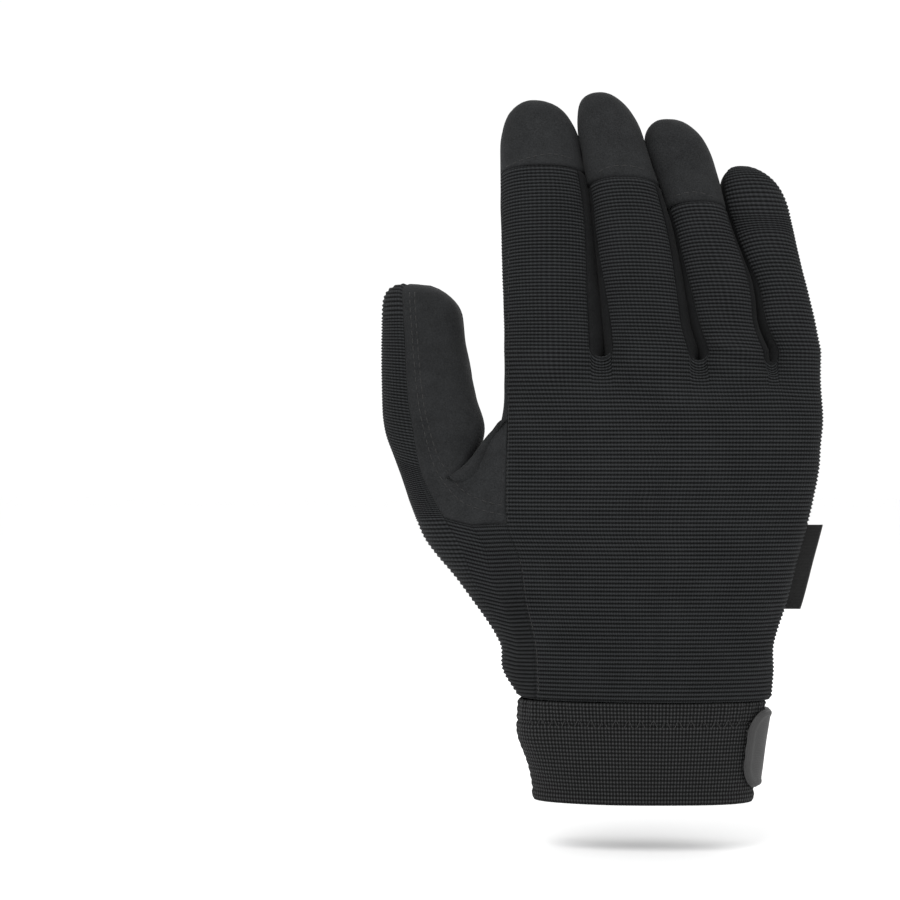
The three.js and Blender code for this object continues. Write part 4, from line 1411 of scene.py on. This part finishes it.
class Ground:
    """Built pieces that a ray from the back's or the palm's side can meet."""

    def __init__(self, *pieces):
        self.trees = []
        for piece in pieces:
            mesh = piece.data
            self.trees.append(BVHTree.FromPolygons(
                [v.co.copy() for v in mesh.vertices], [tuple(p.vertices) for p in mesh.polygons]))

    def hit(self, x, z, side):
        found = [tree.ray_cast(Vector((x, side * ray_start, z)), Vector((0, -side, 0)))
                 for tree in self.trees]
        found = [(f[0], f[1]) for f in found if f[0] is not None]
        if not found:
            return None
        place, normal = min(found, key=lambda f: -side * f[0].y)
        if normal.y * side < 0:
            normal = -normal
        return np.array(place), np.array(normal)


def spaced(points, step):
    """Points a fixed step apart along a line."""
    points = np.array(points, dtype=float)
    lengths = lengths_along(points)
    count = max(2, int(lengths[-1] / step))
    places = np.linspace(0, lengths[-1], count)
    return np.stack([np.interp(places, lengths, points[:, k]) for k in range(points.shape[1])], -1)


def curved(points, steps=8):
    """Smooth line through a few given points."""
    points = np.array(points, dtype=float)
    padded = np.concatenate([[2 * points[0] - points[1]], points, [2 * points[-1] - points[-2]]])
    line = []
    for i in range(1, len(padded) - 2):
        a, b, c, d = padded[i - 1:i + 3]
        for t in np.arange(steps) / steps:
            line.append(0.5 * (2 * b + (c - a) * t + (2 * a - 5 * b + 4 * c - d) * t ** 2
                               + (3 * b - a - 3 * c + d) * t ** 3))
    line.append(points[-1])
    return np.array(line)


def dashes(places):
    """Neighbouring places in pairs: the first as it is, and both drawn in towards each other."""
    for a, b in zip(places[:-1], places[1:]):
        gap = (b - a) * gap_share
        yield a, a + gap, b - gap


def stitch_rings(a, b, normal, radius):
    """One stitch: a short thread that dips into the cloth at both ends."""
    way = b - a
    length = np.linalg.norm(way)
    way = way / length
    across = np.cross(way, normal)
    across /= np.linalg.norm(across)
    up = np.cross(across, way)
    turn = np.arange(stitch_sides) * 2 * math.pi / stitch_sides
    rings = []
    for share, size, height in stitch_profile:
        middle = a + way * length * share + up * (height * radius - thread_sink)
        rings.append(middle + size * radius * (np.cos(turn)[:, None] * across
                                               + np.sin(turn)[:, None] * up))
    return np.concatenate(rings)


def ring_faces(base, rings, sides):
    """Faces between neighbouring rings of points, the first of which starts at base."""
    faces = []
    for ring in range(rings - 1):
        low = base + ring * sides
        for k in range(sides):
            after = (k + 1) % sides
            faces.append([low + k, low + after, low + sides + after, low + sides + k])
    return faces


def threads(name, runs, slot, radius=thread_radius):
    """All stitches of one seam. A run is a start, an end and a normal."""
    points, faces = [], []
    for i, (a, b, normal) in enumerate(runs):
        points.append(stitch_rings(a, b, normal, radius))
        faces += ring_faces(i * len(stitch_profile) * stitch_sides, len(stitch_profile),
                            stitch_sides)
    piece = make_object(name, np.concatenate(points), faces)
    piece.data.materials.append(dark_thread)


def stitches_on(ground, line, side, step=stitch_step):
    """Stitches along a line of (x, z) points laid on the ground from one side."""
    runs = []
    places = spaced(line, step)
    for a, b in zip(places[:-1], places[1:]):
        inset = (b - a) / np.linalg.norm(b - a) * stitch_gap / 2
        start, end = ground.hit(*(a + inset), side), ground.hit(*(b - inset), side)
        if start is None or end is None or abs(start[0][1] - end[0][1]) > step:
            continue
        runs.append((start[0], end[0], start[1] + end[1]))
    return runs


# Camera's place, and how its picture's pixels turn into places at a depth
camera_x = -0.01374
camera_z = 0.1203
camera_distance = 0.86
axis_px = (602, 448)
picture_px = 900
metres_per_px = 0.0003436


def at_px(px, py, y=0.0):
    """X and Z of a pixel of the photograph at a depth."""
    scale = metres_per_px * (camera_distance + y) / camera_distance
    return (camera_x + (px - axis_px[0]) * scale, camera_z + (axis_px[1] - py) * scale)


# Rows of stitches on the back: two up the thumb, the hems of the index, middle and ring caps, and the
# seam down the side of the thumb
thumb_rows_px = (
    ((409, 290), (413, 340), (419, 399), (428, 440), (438, 470), (459, 498), (482, 509),
     (505, 514)),
    ((414, 290), (418, 340), (424, 398), (433, 437), (443, 463), (463, 489), (484, 500),
     (505, 505)),
)
hems_px = (
    ((505, 167), (528, 159), (552, 155), (574, 160)),
    ((597, 175), (609, 169), (630, 168), (652, 174)),
    ((673, 198), (693, 194), (714, 199)),
)
seam_px = ((509.5, 250), (509.5, 300), (509.5, 420), (509.5, 530), (522, 560), (528, 600),
           (537, 640), (540, 690))
seam_step = 0.003


def stitch_back(name, pieces, lines_px, slot, step=stitch_step, radius=thread_radius):
    ground = Ground(*pieces)
    runs = []
    for line in lines_px:
        runs += stitches_on(ground, curved([at_px(*point) for point in line]), back_side, step)
    threads(name, runs, slot, radius)


stitch_back("thumb_stitches", [thumb_wrap], thumb_rows_px, "suede")
stitch_back("cap_stitches", caps, hems_px, "suede", step=short_step)
stitch_back("back_seam_stitches", [back_knit], [seam_px], "knit", seam_step, thin_radius)

# Zigzag over the cuff's back, from X to X between two heights
zigzag_from, zigzag_to = -0.0385, 0.033
zigzag_low, zigzag_high = 0.0245, 0.0292
zigzag_step = 0.0021
zigzag_stitch = 0.0024
zigzag_radius = 0.00016


def stitch_zigzag():
    ground = Ground(cuff)
    places = np.arange(zigzag_from, zigzag_to, zigzag_step)
    corners = [(x, zigzag_low if i % 2 else zigzag_high) for i, x in enumerate(places)]
    runs = []
    for a, b in zip(corners[:-1], corners[1:]):
        middle = ((a[0] + b[0]) / 2, (a[1] + b[1]) / 2)
        runs += stitches_on(ground, [a, middle, b], back_side, zigzag_stitch)
    threads("cuff_zigzag", runs, "elastic", zigzag_radius)


stitch_zigzag()

# Stitches round the pad
pad_inset = 0.0018
pad_step = 0.0025
pad_thread = 0.0002
corner_points = 7


def pad_line():
    """Rounded rectangle on the pad, as places along and up from its middle."""
    half_length = abs(pad_to - pad_from) * metres_per_degree / 2 - pad_inset
    half_height = pad_height / 2 - pad_inset
    radius = strap_corner - pad_inset
    outline = []
    for corner_x, corner_z, first in ((1, 1, 0), (-1, 1, 90), (-1, -1, 180), (1, -1, 270)):
        for turn in np.radians(np.linspace(first, first + 90, corner_points)):
            outline.append((corner_x * (half_length - radius) + radius * math.cos(turn),
                            corner_z * (half_height - radius) + radius * math.sin(turn)))
    outline.append(outline[0])
    return outline


def on_pad(along, height):
    """Place and normal on the pad."""
    angle = np.array((pad_from + pad_to) / 2 - along / metres_per_degree)
    z = np.array(strap_middle + height)
    oval = cuff_oval(z)
    place = oval.at(angle, z)
    normal = np.cross(oval.direction(angle, -1.0), [0.0, 0.0, 1.0])
    if normal @ (place - np.array([0.0, 0.0, z])) < 0:
        normal = -normal
    return place + normal * pad_lift, normal


def stitch_pad():
    runs = []
    for _, a, b in dashes(spaced(pad_line(), pad_step)):
        (start, normal), (end, _) = on_pad(*a), on_pad(*b)
        runs.append((start, end, normal))
    threads("pad_stitches", runs, "strap", pad_thread)


stitch_pad()

# Grip patches, which reach round to columns of the sides, with raised dots and rows of stitches
patch_lift = 0.0007
index_outer_kept = 9
index_inner_kept = 5
thumb_inner_kept = 8
thumb_patch_from = 0.62
dot_pitch = 0.002
dot_row_step = 0.87
dot_foot = 0.6
dot_top_gap = 0.001
dot_clearance = 0.0009
dot_steepest = 0.35
dot_radius = 0.00062
dot_height = 0.00035
dot_sides = 8
# Rings of a dot: widths in dot radii, and heights in dot heights
dot_rings = ((1.0, -0.4), (0.9, 0.35), (0.6, 0.8), (0.2, 1.0))
grip_stitch_rows = (1, 3)
grip_stitch_lift = 0.0001
grip_thread = 0.0002

_, index_cap_ribs, index_tip_ribs = finger_ribs(0)
index_rows = np.linspace(0, 1, index_cap_ribs + 1)
index_tip_rows = np.linspace(0, 1, index_tip_ribs + 1)[:-1]
thumb_free_rows, thumb_tip_rows = thumb_rows(False)
thumb_patch_foot = round(len(thumb_free_rows) * thumb_patch_from)


def index_front(side):
    return finger_grid(0, side, "cap", index_rows, index_tip_rows)


def thumb_front(name):
    return free_thumb_grid(name, thumb_free_rows, thumb_tip_rows[:-1])[thumb_patch_foot:]


def sew_patch(name, grids, node):
    cloth = Cloth()
    for grid in grids:
        cloth.add(grid)
    return sew(name, cloth, patch_cloth, [node], patch_wall, lift=patch_lift,
               relief=suede_relief)


def dot_points(place, normal):
    across = np.cross(normal, [0.0, 0.0, 1.0])
    across /= np.linalg.norm(across)
    up = np.cross(across, normal)
    turn = np.arange(dot_sides) * 2 * math.pi / dot_sides
    circle = np.cos(turn)[:, None] * across + np.sin(turn)[:, None] * up
    return np.concatenate([place + normal * height * dot_height + size * dot_radius * circle
                           for size, height in dot_rings])


def dot_at(ground, x, z):
    """Place and normal for a dot, or None near the patch's edge and where it turns away."""
    found = ground.hit(x, z, palm_side)
    around = [ground.hit(x + dot_clearance * a, z + dot_clearance * b, palm_side)
              for a, b in ((1, 0), (-1, 0), (0, 1), (0, -1))]
    if found is None or any(a is None for a in around) or found[1][1] <= dot_steepest:
        return None
    return found


def grip_dots(name, patch):
    """Staggered raised dots over a patch."""
    ground = Ground(patch)
    corners = np.array([v.co for v in patch.data.vertices])
    low, high = corners.min(0), corners.max(0)
    points, faces = [], []
    rows = np.arange(low[2] + dot_pitch * dot_foot, high[2] - dot_top_gap,
                     dot_pitch * dot_row_step)
    for row, z in enumerate(rows):
        first = low[0] + dot_pitch * (0.5 if row % 2 else 1.0)
        for x in np.arange(first, high[0], dot_pitch):
            found = dot_at(ground, x, z)
            if found is None:
                continue
            base = len(points) * len(dot_rings) * dot_sides
            points.append(dot_points(*found))
            faces += ring_faces(base, len(dot_rings), dot_sides)
            faces.append([base + (len(dot_rings) - 1) * dot_sides + k for k in range(dot_sides)])
    piece = make_object(name, np.concatenate(points), faces)
    piece.data.materials.append(dotted)


def grid_stitches(grid, row, lift):
    """Stitches along one row of a grid of points, at a height over it."""
    ways = np.gradient(grid[row], axis=0)
    normals = np.cross(ways, grid[row + 1] - grid[row])
    normals /= np.linalg.norm(normals, axis=1, keepdims=True)
    places = spaced(np.concatenate([grid[row] + normals * lift, normals], 1), short_step)
    return [(start[:3], end[:3], place[3:]) for place, start, end in dashes(places)]


def stitch_grips():
    """Two rows of stitches along the foot of each grip patch."""
    runs = []
    for grid in (index_front("palm"), thumb_front("palm")):
        for row in grip_stitch_rows:
            runs += grid_stitches(grid, row, patch_lift + grip_stitch_lift)
    threads("grip_stitches", runs, "dotted_grip", grip_thread)


index_grip = sew_patch("index_grip", [
    index_front("palm"),
    index_front("left")[:, :index_outer_kept],
    index_front("right")[:, -index_inner_kept:],
], "index_touch_patch")
thumb_grip = sew_patch("thumb_grip", [
    thumb_front("palm"),
    thumb_front("inner")[:, -thumb_inner_kept:],
], "thumb_touch_patch")
grip_dots("index_dots", index_grip)
grip_dots("thumb_dots", thumb_grip)
stitch_grips()

# Stitches over the palm's foot, in X and Z, and along the vent's tape
palm_foot_row = ((-0.036, 0.0375), (-0.015, 0.0372), (0.01, 0.0372), (0.034, 0.0375))
palm_step = 0.0024
tape_stitch_column = 11
tape_stitch_lift = 0.0011


def stitch_palm_foot():
    ground = Ground(palm_suede, index_grip, thumb_grip)
    threads("palm_stitches", stitches_on(ground, curved(palm_foot_row), palm_side, palm_step),
            "suede")


def stitch_tape():
    runs = []
    for place, start, end in dashes(spaced(tape_grid[:, tape_stitch_column], short_step)):
        outward = np.array([place[0], place[1] * 2, 0.0])
        outward /= np.linalg.norm(outward)
        runs.append((start + outward * tape_stitch_lift, end + outward * tape_stitch_lift, outward))
    threads("tape_stitches", runs, "strap", thin_radius)


stitch_palm_foot()
stitch_tape()

# Folded woven tag in the side seam
tag_length = 0.029
tag_reach = 0.0105
tag_fold_radius = 0.00065
tag_root = 0.0018
tag_beyond_hand = 0.006
tag_wave = 0.0006
tag_wave_turn = 1.3
tag_thread = 0.0005
tag_rows = 40
tag_side_points = 12
tag_fold_angles = np.radians(np.linspace(-75, 75, 7))


def tag_profile():
    """Section through the folded tag: out along one side, round the fold and back."""
    straight = (tag_reach - tag_fold_radius) * np.linspace(0, 1, tag_side_points)
    side = np.full(tag_side_points, tag_fold_radius)
    x = [straight, tag_reach - tag_fold_radius + tag_fold_radius * np.cos(tag_fold_angles),
         straight[::-1]]
    y = [-side, tag_fold_radius * np.sin(tag_fold_angles), side]
    return np.stack([np.concatenate(x), np.concatenate(y)], -1)


def sew_tag():
    low, high = (np.array(corner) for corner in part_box("side_tag"))
    profile = tag_profile()
    up = dense_ends(tag_rows)
    z = mix(low[2], high[2], up)
    hand = hand_oval(z)
    root = hand.xy(pinky_seam_angle)[0] - tag_root
    edge = hand.values[0] + hand.values[2] + tag_beyond_hand
    out = profile[None, :, 0] / tag_reach
    swing = tag_wave * np.sin(up * math.pi * tag_wave_turn)[:, None] * out
    points = stacked(root[:, None] + out * (edge - root)[:, None],
                     (low[1] + high[1]) / 2 + profile[None, :, 1] + swing, z[:, None])
    weave = weave_grid(up * tag_length / tag_thread, lengths_along(profile) / tag_thread)
    sew("folded_tag", Cloth().add(points, weave), tag_cloth, ["side_tag"], tag_wall,
        roll=0.0)


sew_tag()

# Floor, lights and camera
floor_size = 6.0
floor_depth = 0.016
floor_white = 0.97
world_strength = 1.03
sensor_mm = 36
view_end = 20
middle_px = picture_px / 2
glove_middle = Vector((camera_x, 0.0, camera_z))


def lay_floor():
    z = cad_box[0][2] - floor_depth
    mesh = bpy.data.meshes.new("floor")
    mesh.from_pydata([(-floor_size, -floor_size, z), (floor_size, -floor_size, z),
                      (floor_size, floor_size, z), (-floor_size, floor_size, z)],
                     [], [(0, 1, 2, 3)])
    floor = bpy.data.objects.new("floor", mesh)
    bpy.context.collection.objects.link(floor)
    paper = bpy.data.materials.new("paper")
    paper.use_nodes = True
    shader = paper.node_tree.nodes["Principled BSDF"]
    shader.inputs["Base Color"].default_value = (floor_white, floor_white, floor_white, 1)
    shader.inputs["Roughness"].default_value = 0.9
    mesh.materials.append(paper)


def light_world():
    world = bpy.data.worlds.new("studio")
    world.use_nodes = True
    background = world.node_tree.nodes["Background"]
    background.inputs["Color"].default_value = (1, 1, 1, 1)
    background.inputs["Strength"].default_value = world_strength
    bpy.context.scene.world = world
    bpy.context.scene.view_settings.view_transform = "Standard"


def aim(thing, target):
    thing.rotation_euler = (target - thing.location).to_track_quat("-Z", "Y").to_euler()


def area_light(name, place, size, power):
    data = bpy.data.lights.new(name, "AREA")
    data.size = size
    data.energy = power
    lamp = bpy.data.objects.new(name, data)
    lamp.location = place
    aim(lamp, glove_middle)
    bpy.context.collection.objects.link(lamp)


def place_camera():
    data = bpy.data.cameras.new("camera")
    data.sensor_width = sensor_mm
    data.lens = sensor_mm * camera_distance / (picture_px * metres_per_px)
    data.clip_end = view_end
    camera = bpy.data.objects.new("camera", data)
    camera.location = (camera_x, -camera_distance, camera_z)
    target_x, target_z = at_px(middle_px, middle_px)
    aim(camera, Vector((target_x, 0.0, target_z)))
    bpy.context.collection.objects.link(camera)
    bpy.context.scene.camera = camera


lay_floor()
light_world()
area_light("key", Vector((-0.45, -0.75, 1.25)), 1.0, 9)
area_light("fill", Vector((0.9, -0.8, 0.35)), 0.8, 2)
area_light("back", Vector((0.2, 1.0, 0.8)), 0.8, 4)
place_camera()
